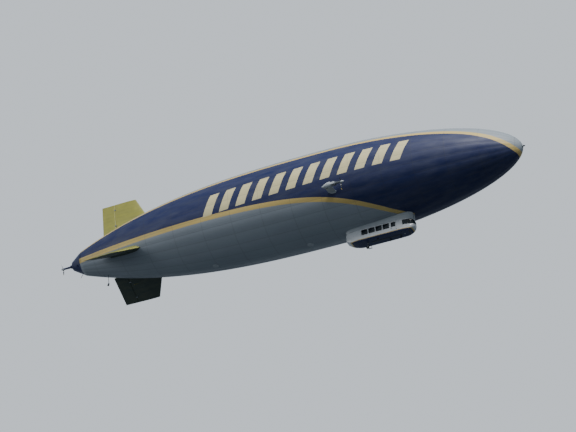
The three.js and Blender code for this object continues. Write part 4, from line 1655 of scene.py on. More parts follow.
        # Columns: distance inboard, growth of the section.
        beam = ((0.1, 1.0), (0.2, 1.0), (0.86, 1.0), (0.96, 1.06), (1.04, 1.35), (1.1, 1.9), (1.3, 2.1))
        collar = ((0.15, 1.1), (0.232, 1.1), (0.24, 1.08), (0.244, 1.0))
        parts = []
        for rows in (refine(beam, 4), collar):
            parts.append(swept([self.strut_ring(y, grow) for y, grow in rows]))
        for depth in (0.08, 0.16, 0.24, 0.32, 0.4):
            half = between(self.strut_side, depth)[1] * 1.1
            for sign in (-1, 1):
                stud = turn(bolt(0.006, 0.006), about(0 if sign > 0 else 180, "X"))
                parts.append(move(stud, (-0.26 - depth, -self.side.value * 0.214, sign * half)))
        self.place("outrigger", parts, GREY_PAINT, "pylon")


@dataclass
class SternDrive:
    """The stern cone with the lateral and the swivelling propeller behind the hull."""

    hinge: float = 36.35
    lateral_station: float = 35.85
    lateral_reach: float = 1.12
    blades: float = 0.55
    spinner: float = 0.09
    # Columns: station, radius.
    cone_side: tuple[Row, ...] = (
        (35.3006, 0.932), (35.5, 0.802), (35.8, 0.61), (36.05, 0.444), (36.19, 0.348), (36.205, 0.332)
    )

    def build(self) -> None:
        """Makes the cone, the lateral arm and the swivelling head with their propellers."""
        self.cone()
        refinish("stern_engine", CAST)
        self.lateral()
        x = at(self.hinge)
        SwivelHead(
            "stern_swivel", "stern_head", (x, 0.0, 0.0), -1, drum=0.11, half=0.092, boss=0.05,
            neck=0.075, tip=0.058, length=0.6402, finish=NAVY_PAINT,
        ).build()
        hub = (x - 0.7, 0, 0)
        Propeller(
            "stern_propeller", "stern_prop", hub, Facing.STERN, radius=self.blades, spinner=self.spinner
        ).build()

    def cone(self) -> None:
        """The painted tail cone with panel seams, louvres, fasteners and the head's cheeks."""
        rows = refine(self.cone_side, 7)
        profile = [(radius, at(s)) for s, radius in grooved(rows, (35.36, 35.72, 36.02), 0.0025, 0.004, (1,))]
        back = at(36.21)
        rim = [(0.322, back), (0.24, back), (0.236, back + 0.01), (0.0, back + 0.01)]
        louvres = around(4, lambda: join_forms(self.louvre(rows, 35.5 + 0.026 * i) for i in range(6)), 35)
        screws = around(24, lambda: rod((0.9, 0, at(35.337)), (0.911, 0, at(35.337)), 0.007, 8))
        form = turn(join_forms([spun([*profile, *rim], 72), louvres, screws]), about(90, "Y"))
        axis = (at(self.hinge), 0, 0)
        cheeks = [move(cheek_plate(0.088, 0.15, 0.102, 0.036, side, -1), axis) for side in (-1, 1)]
        piece("tail_cone", join_forms([form, *cheeks]), NAVY_PAINT, replaces=("stern_cone",))

    def louvre(self, rows: Sequence[Row], station: float) -> Form:
        """One cooling slat on the cone, before the cone is laid along X."""
        radius, x = between(rows, station)[1], at(station)
        return block((radius - 0.03, -0.09, x - 0.007), (radius + 0.006, 0.09, x + 0.007), 0.003)

    def lateral(self) -> None:
        """The arm that holds the sideways propeller, with its root boss and gearcase."""
        end = self.lateral_reach - 0.55 * self.spinner - 0.0103
        arm = spun([
            (0.0, 0.42), (0.12, 0.42), (0.12, 0.66), (0.114, 0.668), (0.094, 0.668), (0.084, 0.69),
            (0.078, 0.86), (0.077, 0.93), (0.09, 0.945), (0.09, 0.965), (0.078, 0.975), (0.074, 1.045),
            (0.07, end), (0.0, end),
        ], 36)
        studs = around(8, lambda: move(bolt(0.007, 0.008), (0.104, 0, 0.668)))
        caps = around(6, lambda: move(bolt(0.005, 0.006), (0.083, 0, 0.965)))
        form = move(turn(join_forms([arm, studs, caps]), about(-90, "X")), (at(self.lateral_station), 0, 0))
        piece("lateral_arm", form, NAVY_PAINT, replaces=("lateral_drive",))
        centre = (at(self.lateral_station), self.lateral_reach, 0)
        Propeller(
            "lateral_propeller", "side_thruster", centre, Facing.PORT,
            radius=self.blades, spinner=self.spinner,
        ).build()


@dataclass(frozen=True)
class Opening:
    """A rectangle in a cabin side: its stations and heights."""

    bow: float
    stern: float
    low: float
    high: float

    def holds(self, station: float, height: float) -> bool:
        """Whether a point of the side lies in it."""
        return self.bow < station < self.stern and self.low < height < self.high

    def shrunk(self, gap: float) -> "Opening":
        """The same rectangle with each edge moved in."""
        return Opening(self.bow + gap, self.stern - gap, self.low + gap, self.high - gap)

    def outline(self, radius: float) -> tuple[float, float, Path]:
        """X and Z of its middle, and the way around it with rounded corners."""
        path = rounded_path((self.stern - self.bow) / 2, (self.high - self.low) / 2, radius)
        return at((self.bow + self.stern) / 2), (self.low + self.high) / 2, path


@dataclass(frozen=True)
class Door:
    """One hinged cabin door: its opening, its window and the body that it moves with."""

    name: str
    node: str
    body: str
    side: Side
    opening: Opening
    running: float = 0.006
    handle: float = -4.292

    @property
    def leaf(self) -> Opening:
        """The leaf's edges."""
        return self.opening.shrunk(self.running)

    @property
    def window(self) -> Opening:
        """The window in the leaf."""
        return Opening(self.leaf.bow + 0.06, self.leaf.stern - 0.06, -4.2, self.leaf.high - 0.04)


@dataclass
class Gondola:
    """The cabin under the hull: shell panels, glazing, doors, fairing, seats and instruments."""

    hull: Hull
    half: float = 0.562
    wall: float = 0.03
    bottom: float = -4.7
    deck: float = -4.6697
    nose_end: float = 9.7
    tail_start: float = 13.0
    stern: float = 14.05
    floor_line: float = -4.585
    roof_line: float = -3.762
    sill: float = -4.23
    lintel: float = -3.83
    glass_end: float = 9.58
    window_width: float = 0.46
    window_pitch: float = 0.56
    windows: int = 4
    port_row: float = 10.06
    starboard_row: float = 10.62
    rear: Opening = Opening(-0.21, 0.21, -4.12, -3.88)
    doors: tuple[Door, ...] = (
        Door("passenger", "passenger_door", "cabin_door", Side.PORT, Opening(12.34, 12.78, -4.56, -3.8)),
        Door("crew", "crew_door", "pilot_door", Side.STARBOARD, Opening(10.06, 10.5, -4.56, -3.8)),
    )
    # Columns: station, half width, top, bottom, corner radius.
    sections: tuple[Row, ...] = (
        (8.7, 0.1, -3.99, -4.22, 0.08), (8.712, 0.16, -3.95, -4.27, 0.1), (8.735, 0.225, -3.91, -4.33, 0.12),
        (8.8, 0.33, -3.83, -4.45, 0.14), (9.05, 0.46, -3.73, -4.61, 0.13), (9.5, 0.545, -3.69, -4.7, 0.115),
        (9.95, 0.562, -3.69, -4.7, 0.11), (12.95, 0.562, -3.69, -4.7, 0.11),
        (13.55, 0.48, -3.69, -4.61, 0.115), (14.02, 0.34, -3.715, -4.39, 0.12),
        (14.05, 0.32, -3.73, -4.37, 0.12),
    )
    skins: dict[float, Form] = field(default_factory=dict)

    def side_windows(self, side: Side) -> list[Opening]:
        """The row of windows on one side.

        Args:
            side: The side.

        Returns:
            The windows from the bow aft.
        """
        first = self.port_row if side is Side.PORT else self.starboard_row
        starts = [first + i * self.window_pitch for i in range(self.windows)]
        return [Opening(s, s + self.window_width, self.sill, self.lintel) for s in starts]

    def build(self) -> None:
        """Makes every piece of the cabin."""
        self.shell()
        self.fairing()
        self.glazing()
        for door in self.doors:
            self.door_fittings(door)
        self.pillars()
        self.underside()
        self.handling_rails()
        Seating(self.deck).build()
        self.console()
        for form in self.skins.values():
            form.free()

    def cuts(self) -> list[tuple[Point, Point]]:
        """Planes along every panel's edge, each a point and a normal.

        Returns:
            The planes.
        """
        stations = {self.glass_end, self.nose_end, self.tail_start}
        heights = {self.floor_line, self.roof_line, self.sill, self.lintel, self.rear.low, self.rear.high}
        for door in self.doors:
            for opening in (door.opening, door.leaf, door.window):
                stations |= {opening.bow, opening.stern}
                heights |= {opening.low, opening.high}
        for side in Side:
            for window in self.side_windows(side):
                stations |= {window.bow, window.stern}
        planes = [((at(s), 0, 0), (1, 0, 0)) for s in sorted(stations)]
        planes += [((0, 0, h), (0, 0, 1)) for h in sorted(heights)]
        return planes + [((0, y, 0), (0, 1, 0)) for y in (self.rear.bow, self.rear.stern)]

    def skin(self, depth: float) -> Form:
        """The cabin's outer surface, cut along every panel's edge.

        Args:
            depth: How far inside the real surface it lies.

        Returns:
            The closed skin, kept for the next call.
        """
        if depth not in self.skins:
            form = swept([rounded_ring(at(row[0]), *row[1:]) for row in refine(self.sections, 5)])
            bmesh.ops.recalc_face_normals(form, faces=form.faces)
            for place, normal in self.cuts():
                slice_form(form, place, normal)
            form.normal_update()
            for vert, normal in [(vert, vert.normal.copy()) for vert in form.verts]:
                vert.co -= normal * depth
            self.skins[depth] = form
        return self.skins[depth]

    def region(self, centre: Vector) -> str:
        """Name of the panel that a face of the skin belongs to, from the face's middle.

        Args:
            centre: The face's middle.

        Returns:
            The panel's name, or "hole" where there is none.
        """
        station, height = LIFT_STATION - centre.x, centre.z
        if station < self.nose_end:
            glass = station < self.glass_end and self.sill < height < self.lintel
            return "windshield" if glass else "gondola_nose"
        if station > self.tail_start:
            rear = station > self.stern - 1e-3 and self.rear.holds(centre.y, height)
            return "rear_window" if rear else "gondola_tail"
        if height < self.floor_line or height > self.roof_line:
            return "gondola_floor" if height < self.floor_line else "gondola_roof"
        side = Side.PORT if centre.y > 0 else Side.STARBOARD
        for door in self.doors:
            if door.side is side and door.opening.holds(station, height):
                leaf = door.leaf.holds(station, height) and not door.window.holds(station, height)
                return door.node if leaf else "hole"
        if any(window.holds(station, height) for window in self.side_windows(side)):
            return "hole"
        return f"gondola_wall_{side.label}"

    def panel(self, region: str, depth: float = 0.0) -> Form:
        """One region of the skin as an open sheet.

        Args:
            region: The panel's name.
            depth: How far inside the real surface it lies.

        Returns:
            The sheet.
        """
        form = self.skin(depth).copy()
        others = [f for f in form.faces if self.region(f.calc_center_median()) != region]
        bmesh.ops.delete(form, geom=others, context="FACES")
        return form

    def thicken(self, thing: bpy.types.Object, wall: float, edge: float) -> None:
        """Gives a sheet its thickness inward and rounds the cut edges.

        Args:
            thing: The sheet.
            wall: Its thickness.
            edge: Radius of its edges.
        """
        solid = thing.modifiers.new("wall", "SOLIDIFY")
        solid.thickness = wall
        solid.offset = -1.0
        solid.use_even_offset = True
        rounding = thing.modifiers.new("edge", "BEVEL")
        rounding.width = edge
        rounding.segments = 2
        rounding.limit_method = "ANGLE"
        rounding.angle_limit = math.radians(50)

    def shell(self) -> None:
        """Floor, roof, walls, nose, tail and door leaves, each as thick as the wall."""
        names = ["gondola_nose", "gondola_floor", "gondola_roof", "gondola_tail"]
        names += [f"gondola_wall_{side.label}" for side in Side]
        parts = [(name, ROOT) for name in names] + [(door.node, door.body) for door in self.doors]
        for node, body in parts:
            made = piece(f"{node}_panel", self.panel(node), CABIN_PAINT, body, (node,), 40, recalculate=False)
            self.thicken(made, self.wall, 0.0025)

    def fairing(self) -> None:
        """The flared skirt between the cabin's roof and the hull."""
        # Columns: station, half width at its foot.
        rows = refine((
            (8.8, 0.2), (8.85, 0.25), (9.15, 0.44), (9.7, 0.52), (12.95, 0.52), (13.6, 0.45), (13.98, 0.33),
            (14.06, 0.25),
        ), 6)
        # Columns: share of the height, flare outward.
        curve = (
            (0.0, 0.0), (0.1, 0.0), (0.12, 0.004), (0.3, 0.012), (0.55, 0.03), (0.75, 0.055), (0.9, 0.082),
            (1.0, 0.11),
        )
        roof = refine(self.sections, 5)
        rings = []
        for station, half in rows:
            foot = between(roof, station)[2] - 0.028
            skin = 0.03 - self.hull.radius_at(station)
            side = [(half + flare, mix(foot, skin, share)) for share, flare in curve]
            outline = [*side, *((-y, z) for y, z in reversed(side))]
            rings.append([Vector((at(station), y, z)) for y, z in outline])
        piece("roof_fairing", swept(rings), GREY_PAINT, replaces=("gondola_fairing",))

    def glazing(self) -> None:
        """Windshield, side panes and rear pane, set back in their gaskets."""
        sheet = self.panel("windshield", 0.008)
        glass = piece("windshield_glass", sheet, PANE, replaces=("windshield",), angle=60, recalculate=False)
        self.thicken(glass, 0.01, 0.001)
        for side in Side:
            windows = self.side_windows(side)
            panes = [self.pane(window.shrunk(-0.02), side, 0.5237, 0.008) for window in windows]
            piece(f"panes_{side.label}", join_forms(panes), PANE, replaces=(f"glazing_{side.label}",))
            gaskets = [self.gasket(window, side, self.half) for window in windows]
            piece(f"gaskets_{side.label}", join_forms(gaskets), GASKET)
        pane = self.pane(self.rear.shrunk(0.0003), Side.PORT, -0.018, 0.01)
        piece("rear_pane", self.astern(pane), PANE, replaces=("rear_window",))
        piece("rear_gasket", self.astern(self.gasket(self.rear, Side.PORT, 0.0)), GASKET)

    def astern(self, form: Form) -> Form:
        """Turns a form drawn for the port side onto the cabin's rear face."""
        return move(turn(form, about(90, "Z")), (at(self.stern), -LIFT_STATION, 0))

    def pane(self, opening: Opening, side: Side, inner: float, thick: float) -> Form:
        """One flat pane with rounded corners.

        Args:
            opening: The pane's edges.
            side: The cabin side that it stands in.
            inner: Distance of its inner face from the ship's middle plane.
            thick: Its thickness.

        Returns:
            The pane.
        """
        x, z, path = opening.outline(0.03)
        rings = []
        for y in (inner, inner + thick):
            rings.append([Vector((x + point.x, side.value * y, z + point.y)) for point, _ in path])
        form = swept(rings)
        return soften(form, sharp_edges(form, 60), 0.0015)

    def gasket(self, opening: Opening, side: Side, face: float) -> Form:
        """A moulded rubber frame around an opening, proud of the skin and lapping its corners.

        Args:
            opening: The opening.
            side: The cabin side that it stands in.
            face: Distance of the skin from the ship's middle plane.

        Returns:
            The frame as a closed ring.
        """
        x, z, path = opening.outline(0.04)
        # Columns: outward from the opening's edge, proud of the skin.
        section = (
            (-0.016, -0.028), (-0.016, -0.002), (-0.01, 0.005), (0.004, 0.007), (0.014, 0.005),
            (0.018, -0.001), (0.0, -0.004), (-0.002, -0.028),
        )
        rings = []
        for point, way in path:
            rings.append([
                Vector((x + point.x + way.x * out, side.value * (face + proud), z + point.y + way.y * out))
                for out, proud in section
            ])
        return swept(rings, looped=True)

    def door_fittings(self, door: Door) -> None:
        """Window, handle, hinges and weather strip of one door.

        Args:
            door: The door.
        """
        s, leaf = door.side.value, door.leaf
        pane = self.pane(door.window.shrunk(0.0003), door.side, 0.542, 0.008)
        piece(f"{door.name}_door_glass", pane, PANE, door.body, (f"{door.node}_pane",))
        piece(f"{door.name}_door_gasket", self.gasket(door.window, door.side, self.half), GASKET, door.body)
        x, y, z = at(leaf.stern - 0.055), s * self.half, door.handle
        parts = [
            block((x - 0.022, y - s * 0.002, z - 0.038), (x + 0.03, y + s * 0.004, z + 0.032), 0.0018),
            block((x - 0.015, y + s * 0.012, z - 0.008), (x + 0.075, y + s * 0.02, z + 0.008), 0.003),
            rod((x, y, z), (x, y + s * 0.016, z), 0.009, 16),
            rod((x + 0.012, y + s * 0.003, z - 0.028), (x + 0.012, y + s * 0.008, z - 0.028), 0.006, 14),
        ]
        plates = []
        axis_x, axis_y = at(door.opening.bow + 0.003), s * (self.half + 0.0083)
        for height in (leaf.low + 0.07, leaf.high - 0.11):
            foot, head = (axis_x, axis_y, height), (axis_x, axis_y, height + 0.05)
            parts.append(rod(foot, head, 0.008, 20, edge=0.0012))
            parts += self.hinge_leaf(axis_x, s, height, -1)
            plates += self.hinge_leaf(axis_x, s, height, 1)
        piece(f"{door.name}_door_fittings", join_forms(parts), MACHINED, door.body)
        piece(f"{door.name}_door_plates", join_forms(plates), MACHINED)

    def hinge_leaf(self, axis_x: float, s: int, height: float, way: int) -> list[Form]:
        """One leaf of a hinge, on the door (-1) or on the wall (1), with two screws.

        Args:
            axis_x: X of the hinge's axis.
            s: 1 to port, -1 to starboard.
            height: The hinge's lower end.
            way: 1 on the wall, -1 on the door.

        Returns:
            The plate and its screws.
        """
        near, far = axis_x + way * 0.009, axis_x + way * 0.045
        face = s * (self.half + 0.004)
        parts = [block((near, s * (self.half - 0.002), height + 0.003), (far, face, height + 0.047), 0.0018)]
        for offset in (0.014, 0.036):
            stud = sideways(bolt(0.004, 0.003), s)
            parts.append(move(stud, ((near + far) / 2, face, height + offset)))
        return parts

    def pillars(self) -> None:
        """Slim strips over the windshield's joints."""
        strips = []
        half = 0.015
        for station in (8.86, 9.14, 9.565):
            strip = self.panel("windshield", 0.004)
            slice_form(strip, (at(station - half), 0, 0), (1, 0, 0), clear=True)
            slice_form(strip, (at(station + half), 0, 0), (-1, 0, 0), clear=True)
            strips.append(strip)
        middle = self.panel("windshield", 0.004)
        slice_form(middle, (0, half, 0), (0, 1, 0), clear=True)
        slice_form(middle, (0, -half, 0), (0, -1, 0), clear=True)
        made = piece("windshield_pillars", join_forms([*strips, middle]), GASKET, recalculate=False)
        self.thicken(made, 0.02, 0.002)

    def underside(self) -> None:
        """Keel skid, landing lamp, blade aerials and the boarding step."""
        bottom = self.bottom
        # Columns: station, half width, how far it stands below the floor.
        rows = refine((
            (9.75, 0.02, 0.004), (9.9, 0.05, 0.014), (10.2, 0.06, 0.016), (12.1, 0.06, 0.016),
            (12.25, 0.02, 0.006),
        ), 4)
        skid = swept([
            rounded_ring(at(s), half, bottom + 0.004, bottom - low, (low + 0.004) * 0.45, 4)
            for s, half, low in rows
        ])
        piece("keel_skid", skid, LACQUER)
        aerials = []
        for station, y in ((10.8, 0.3), (11.6, -0.3), (9.95, 0.2)):
            rings = []
            for height, chord in ((0.0, 0.07), (0.06, 0.06), (0.14, 0.035), (0.15, 0.02)):
                x, z = at(station) - height * 0.4, bottom - height + 0.006
                rings.append([
                    Vector((x + chord * math.cos(a), y + 0.006 * math.sin(a), z)) for a in turns(18)
                ])
            aerials.append(swept(rings))
            foot = spun([(0.0, -0.006), (0.07, -0.006), (0.076, 0.0), (0.0, 0.002)], 28)
            aerials.append(move(foot, (at(station), y, bottom)))
        piece("blade_aerials", join_forms(aerials), LACQUER)
        lamp = (at(9.62), 0, bottom + 0.003)
        piece("landing_lamp", move(turn(dome_lamp(0.05, 0.03), about(180, "X")), lamp), CLEAR_LENS)
        bezel = spun([(0.049, 0.004), (0.064, 0.004), (0.062, -0.01), (0.052, -0.012), (0.049, 0.004)], 32)
        piece("landing_lamp_bezel", move(bezel, lamp), MACHINED)
        self.boarding_step()

    def boarding_step(self) -> None:
        """The ribbed step under the passenger door, on four stays."""
        x = at(12.56)
        parts = [block((x - 0.14, 0.58, -4.80), (x + 0.14, 0.68, -4.785), 0.005)]
        for dx in (-0.11, 0.11):
            parts.append(rod((x + dx, 0.53, -4.65), (x + dx, 0.64, -4.792), 0.009, 12))
            parts.append(rod((x + dx, 0.48, -4.68), (x + dx, 0.6, -4.792), 0.007, 12))
        for y in (0.595, 0.615, 0.635, 0.655):
            parts.append(block((x - 0.12, y, -4.787), (x + 0.12, y + 0.008, -4.781), 0.0015))
        piece("boarding_step", join_forms(parts), MACHINED)

    def handling_rails(self) -> None:
        """A grab rail along each lower edge, on small stand-offs."""
        z = -4.625
        parts = []
        for side in Side:
            s = side.value
            # Columns: station, distance outside the cabin's side.
            path = (
                (9.98, -0.012), (10.0, 0.02), (10.04, 0.035), (12.86, 0.035), (12.9, 0.02), (12.92, -0.012)
            )
            parts.append(tube([(at(station), s * (self.half + out), z) for station, out in path], 0.009, 14))
            for station in (10.6, 11.4, 12.2):
                x = at(station)
                parts.append(rod((x, s * (self.half - 0.012), z), (x, s * (self.half + 0.033), z), 0.006, 10))
        piece("handling_rails", join_forms(parts), MACHINED)

    def console(self) -> None:
        """The instrument desk with screens, keys and four levers."""
        x, z = at(9.15), self.deck
        # Columns: x from the desk's front going aft, height above the floor.
        outline = ((0.0, 0.0), (0.26, 0.0), (0.2, 0.33), (0.11, 0.4), (0.04, 0.4))
        desk = swept([[Vector((x - dx, y, z + dz)) for dx, dz in outline] for y in (-0.28, 0.28)])
        soften(desk, sharp_edges(desk), 0.012, 3)
        piece("instrument_desk", desk, LACQUER, replaces=("instrument_console",))
        lean = about(-math.degrees(math.atan2(0.07, 0.09)), "Y")
        screens, controls = [], []
        for y in (-0.19, 0.0, 0.19):
            pane = turn(block((-0.044, -0.07, 0.0), (0.044, 0.07, 0.006), 0.002), lean)
            screens.append(move(pane, (x - 0.155, y, z + 0.364)))
            for i in range(5):
                key = block((-0.005, -0.006, -0.002), (0.005, 0.006, 0.006), 0.0015)
                controls.append(move(key, (x - 0.075, y - 0.05 + 0.025 * i, z + 0.4)))
        for y in (-0.04, -0.015, 0.015, 0.04):
            controls.append(rod((x - 0.2, y, z + 0.25), (x - 0.275, y, z + 0.3), 0.004, 10))
            knob = spun([(0.0, -0.002), (0.009, 0.003), (0.009, 0.014), (0.0, 0.018)], 14)
            controls.append(move(knob, (x - 0.278, y, z + 0.296)))
        piece("desk_screens", join_forms(screens), PANE)
        piece("desk_controls", join_forms(controls), MACHINED)


def slice_form(form: Form, place: Point, normal: Point, clear: bool = False) -> None:
    """Cuts a form along a plane, and clears what lies ahead of it if asked.

    Args:
        form: The form.
        place: A point on the plane.
        normal: The way ahead.
        clear: Whether the part ahead goes.
    """
    everything = form.verts[:] + form.edges[:] + form.faces[:]
    bmesh.ops.bisect_plane(
        form, geom=everything, dist=1e-6, plane_co=place, plane_no=normal, clear_outer=clear
    )


@dataclass
class Seating:
    """The cabin's seats: padded leather on light frames that stand on rails."""

    floor: float
    long: float = 0.21
    wide: float = 0.21
    cushion: float = 0.19
    back: float = 0.52
    pad: float = 0.06
    seats: int = 5
    pitch: float = 0.43
    port_first: float = 10.08
    starboard_first: float = 10.64
    off_middle: float = 0.375
    pressure: float = 4.0
    swell: float = 0.006
    last_frame: int = 20

    def build(self) -> None:
        """Makes both rows of passenger seats and the pilots' pair."""
        # Columns: name, node, station and Y of each seat.
        rows = (
            ("port", "seats_port", self.row(self.port_first, self.off_middle)),
            ("starboard", "seats_starboard", self.row(self.starboard_first, -self.off_middle)),
            ("pilots", "pilot_seats", [(9.75, -0.19), (9.75, 0.19)]),
        )
        padding = self.blown(join_forms(self.pads()))
        for name, node, places in rows:
            pads = [move(padding.copy(), (at(station), y, 0)) for station, y in places]
            frames = [form for station, y in places for form in self.stand(station, y)]
            made = piece(f"seat_pads_{name}", join_forms(pads), HIDE, replaces=(node,), angle=60)
            if name == "pilots":
                low = (at(9.99), -0.33, self.floor)
                frames.append(block(low, (at(9.72), 0.33, self.floor + 0.025), 0.004))
            else:
                fore, aft, y = at(places[0][0]), at(places[-1][0] + self.long), places[0][1]
                for rail in (y - 0.06, y + 0.06):
                    low = (aft, rail - 0.01, self.floor)
                    frames.append(block(low, (fore, rail + 0.01, self.floor + 0.02), 0.003))
            piece(f"seat_frames_{name}", join_forms(frames), MACHINED)
        padding.free()

    def row(self, first: float, y: float) -> list[tuple[float, float]]:
        """Station and Y of each seat in a passenger row."""
        return [(first + self.pitch * i, y) for i in range(self.seats)]

    def pads(self) -> list[Form]:
        """Cushion, backrest and headrest of a seat whose front is at x = 0, before they are blown up.

        Returns:
            The three pads.
        """
        rear, w, slim = -self.long, self.wide / 2, 0.003
        top, split, head = self.floor + self.cushion, self.floor + 0.42, self.floor + self.back
        # Columns: lowest corner, highest corner, the axis across the broad faces.
        boxes = (
            ((rear, -w, top - self.pad), (0, w, top), 2),
            ((rear, -w, top + 0.004), (rear + self.pad, w, split), 0),
            ((rear + 0.006, -w * 0.62, split + 0.006), (rear + self.pad - 0.006, w * 0.62, head), 0),
        )
        pads = []
        for low, high, axis in boxes:
            pads.append(self.stuffed([a + slim for a in low], [b - slim for b in high], axis))
        return pads

    def blown(self, form: Form) -> Form:
        """Blows a seat's pads up as cloth, with no point moved by more than the swell.

        Args:
            form: The pads, a little slimmer than they end.
        """
        scene = bpy.context.scene
        mesh = bpy.data.meshes.new("pad_cloth")
        form.to_mesh(mesh)
        thing = bpy.data.objects.new("pad_cloth", mesh)
        scene.collection.objects.link(thing)
        cloth = thing.modifiers.new("cloth", "CLOTH")
        cloth.settings.use_pressure = True
        cloth.settings.uniform_pressure_force = self.pressure
        cloth.settings.effector_weights.gravity = 0.0
        cloth.point_cache.frame_end = self.last_frame
        for number in range(1, self.last_frame + 1):
            scene.frame_set(number)
        settled = thing.evaluated_get(bpy.context.evaluated_depsgraph_get()).data
        form.verts.ensure_lookup_table()
        for vert, end in zip(form.verts, settled.vertices):
            way = end.co - vert.co
            vert.co += way * min(1.0, self.swell / max(way.length, 1e-9))
        scene.frame_set(1)
        bpy.data.objects.remove(thing)
        return form

    def stuffed(self, low: Point, high: Point, axis: int) -> Form:
        """A crowned pad: full in the middle, pulled in along its sides and sewn round its edge.

        Args:
            low: Lowest corner.
            high: Highest corner.
            axis: The axis across its broad faces.

        Returns:
            The pad.
        """
        form = bmesh.new()
        bmesh.ops.create_cube(form, size=2.0)
        bmesh.ops.subdivide_edges(form, edges=form.edges, cuts=15, use_grid_fill=True)
        middle, size = (Vector(low) + Vector(high)) / 2, (Vector(high) - Vector(low)) / 2
        first, second = (k for k in range(3) if k != axis)
        for vert in form.verts:
            a, b, deep = vert.co[first], vert.co[second], vert.co[axis]
            edge = min(max(abs(a), abs(b)), 1.0)
            crown = max(1 - a * a, 0.0) * max(1 - b * b, 0.0)
            sewn = 1 - 0.16 * math.exp(-((edge - 0.82) / 0.06) ** 2)
            pull = 1 - 0.035 * (1 - abs(deep)) - 0.02 * (1 - min(abs(a), abs(b)) ** 2)
            pull *= 1 - 0.05 * (a * b) ** 4
            spot = Vector((0, 0, 0))
            spot[first], spot[second] = a * pull, b * pull
            spot[axis] = deep * (0.66 + 0.34 * crown ** 0.6) * sewn * (0.35 + 0.65 * (1 - edge ** 8))
            vert.co = [middle[k] + spot[k] * size[k] for k in range(3)]
        bmesh.ops.smooth_vert(
            form, verts=form.verts, factor=0.4, use_axis_x=True, use_axis_y=True, use_axis_z=True
        )
        return form

    def stand(self, station: float, y: float) -> list[Form]:
        """Legs, pan and headrest stems that carry one seat.

        Args:
            station: The seat's front.
            y: Its middle.

        Returns:
            The parts of the frame.
        """
        front, rear = at(station), at(station + self.long)
        top, w = self.floor + self.cushion - self.pad, self.wide / 2
        parts = []
        for dy in (-0.06, 0.06):
            for x, lean in ((front - 0.05, -0.02), (rear + 0.05, 0.02)):
                parts.append(rod((x, y + dy, self.floor), (x + lean, y + dy, top), 0.008, 12))
            x, stem = rear + 0.03, y + dy / 2
            parts.append(rod((x, stem, self.floor + 0.4), (x, stem, self.floor + 0.44), 0.005, 10))
        low = (rear + 0.01, y - w + 0.01, top - 0.012)
        parts.append(block(low, (front - 0.01, y + w - 0.01, top + 0.006), 0.004))
        return parts


@dataclass
class LandingWheel:
    """A castoring wheel: leg, fork, tyre and hub."""

    name: str
    station: float
    crown: float
    radius: float
    half: float
    trail: float

    @property
    def axle(self) -> Point:
        """Middle of the wheel."""
        return (at(self.station) - self.trail, 0.0, self.crown - self.radius - 0.04)

    @property
    def arm(self) -> float:
        """Distance of the fork arms' outer faces from the middle plane."""
        return self.half + 0.02

    def build(self) -> None:
        """Makes the leg, the fork and the wheel."""
        shank = self.half * 0.9 * 0.62
        ring = spun([
            (shank, -0.012), (shank + 0.006, -0.01), (shank + 0.006, 0.01), (shank, 0.012), (shank, -0.012)
        ], 24)
        collar = move(ring, (at(self.station), 0, self.crown + 0.075))
        leg, fork = f"{self.name}_leg", f"{self.name}_fork"
        piece(f"{leg}_dressed", join_forms([self.softened(leg), collar]), MACHINED, replaces=(leg,))
        x, _, z = self.axle
        parts = [self.softened(fork)]
        for sign in (-1, 1):
            nut = sideways(bolt(self.radius * 0.09, self.radius * 0.07), sign)
            parts.append(move(nut, (x, sign * self.arm, z)))
        piece(f"{fork}_dressed", join_forms(parts), CAST, f"{self.name}_castor", (fork,))
        self.tyre()
        self.hub()

    def softened(self, node: str) -> Form:
        """A copy of a node's mesh with its flat faces joined and its edges rounded.

        Args:
            node: The node's name.

        Returns:
            The copy.
        """
        form = bmesh.new()
        form.from_mesh(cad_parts[node].data)
        bmesh.ops.remove_doubles(form, verts=form.verts, dist=1e-5)
        bmesh.ops.dissolve_limit(form, angle_limit=math.radians(4), verts=form.verts, edges=form.edges)
        return soften(form, sharp_edges(form, 45), 0.0025)

    def tyre(self) -> None:
        """The tyre with its tread grooves."""
        r, h = self.radius, self.half
        steps = 64
        outline = [(r * 0.56, -h * 0.68)]
        for i in range(steps + 1):
            a = math.radians(mix(-125, 125, i / steps))
            across = math.copysign(abs(math.sin(a)) ** 0.85, a) * h
            up = r * (0.78 + 0.22 * math.copysign(abs(math.cos(a)) ** 0.6, math.cos(a)))
            cut = any(abs(abs(across) - line * h) < 0.06 * h for line in (0.0, 0.4)) and math.cos(a) > 0.4
            outline.append((up - (0.004 if cut else 0.0), across))
        outline += [(r * 0.56, h * 0.68), (r * 0.56, -h * 0.68)]
        form = turn(spun(outline, 56), about(90, "X"))
        name, form = self.name, move(form, self.axle)
        piece(f"{name}_tyre", form, RUBBER, f"{name}_wheels", (f"{name}_wheel",), 30)

    def hub(self) -> None:
        """The wheel's two dished halves, its nuts and the axle."""
        r, h = self.radius, self.half
        # Columns, as shares: of the radius, of half the width.
        half_rim = (
            (0.16, 0.62), (0.18, 0.5), (0.2, 0.3), (0.46, 0.42), (0.5, 0.76), (0.56, 0.84), (0.585, 0.8),
            (0.57, 0.7),
        )
        rim = [(0.0, -h * 0.62), *((r * a, -h * b) for a, b in half_rim)]
        rim += [*((r * a, h * b) for a, b in reversed(half_rim)), (0.0, h * 0.62)]
        nuts = around(5, lambda: move(bolt(r * 0.035, r * 0.05), (r * 0.3, 0, h * 0.34)))
        others = turn(nuts.copy(), about(180, "X"))
        axle = rod((0, 0, -self.arm), (0, 0, self.arm), 0.0098, 20)
        form = turn(join_forms([spun(rim, 48), nuts, others, axle]), about(90, "X"))
        piece(f"{self.name}_hub", move(form, self.axle), CAST, f"{self.name}_wheels")


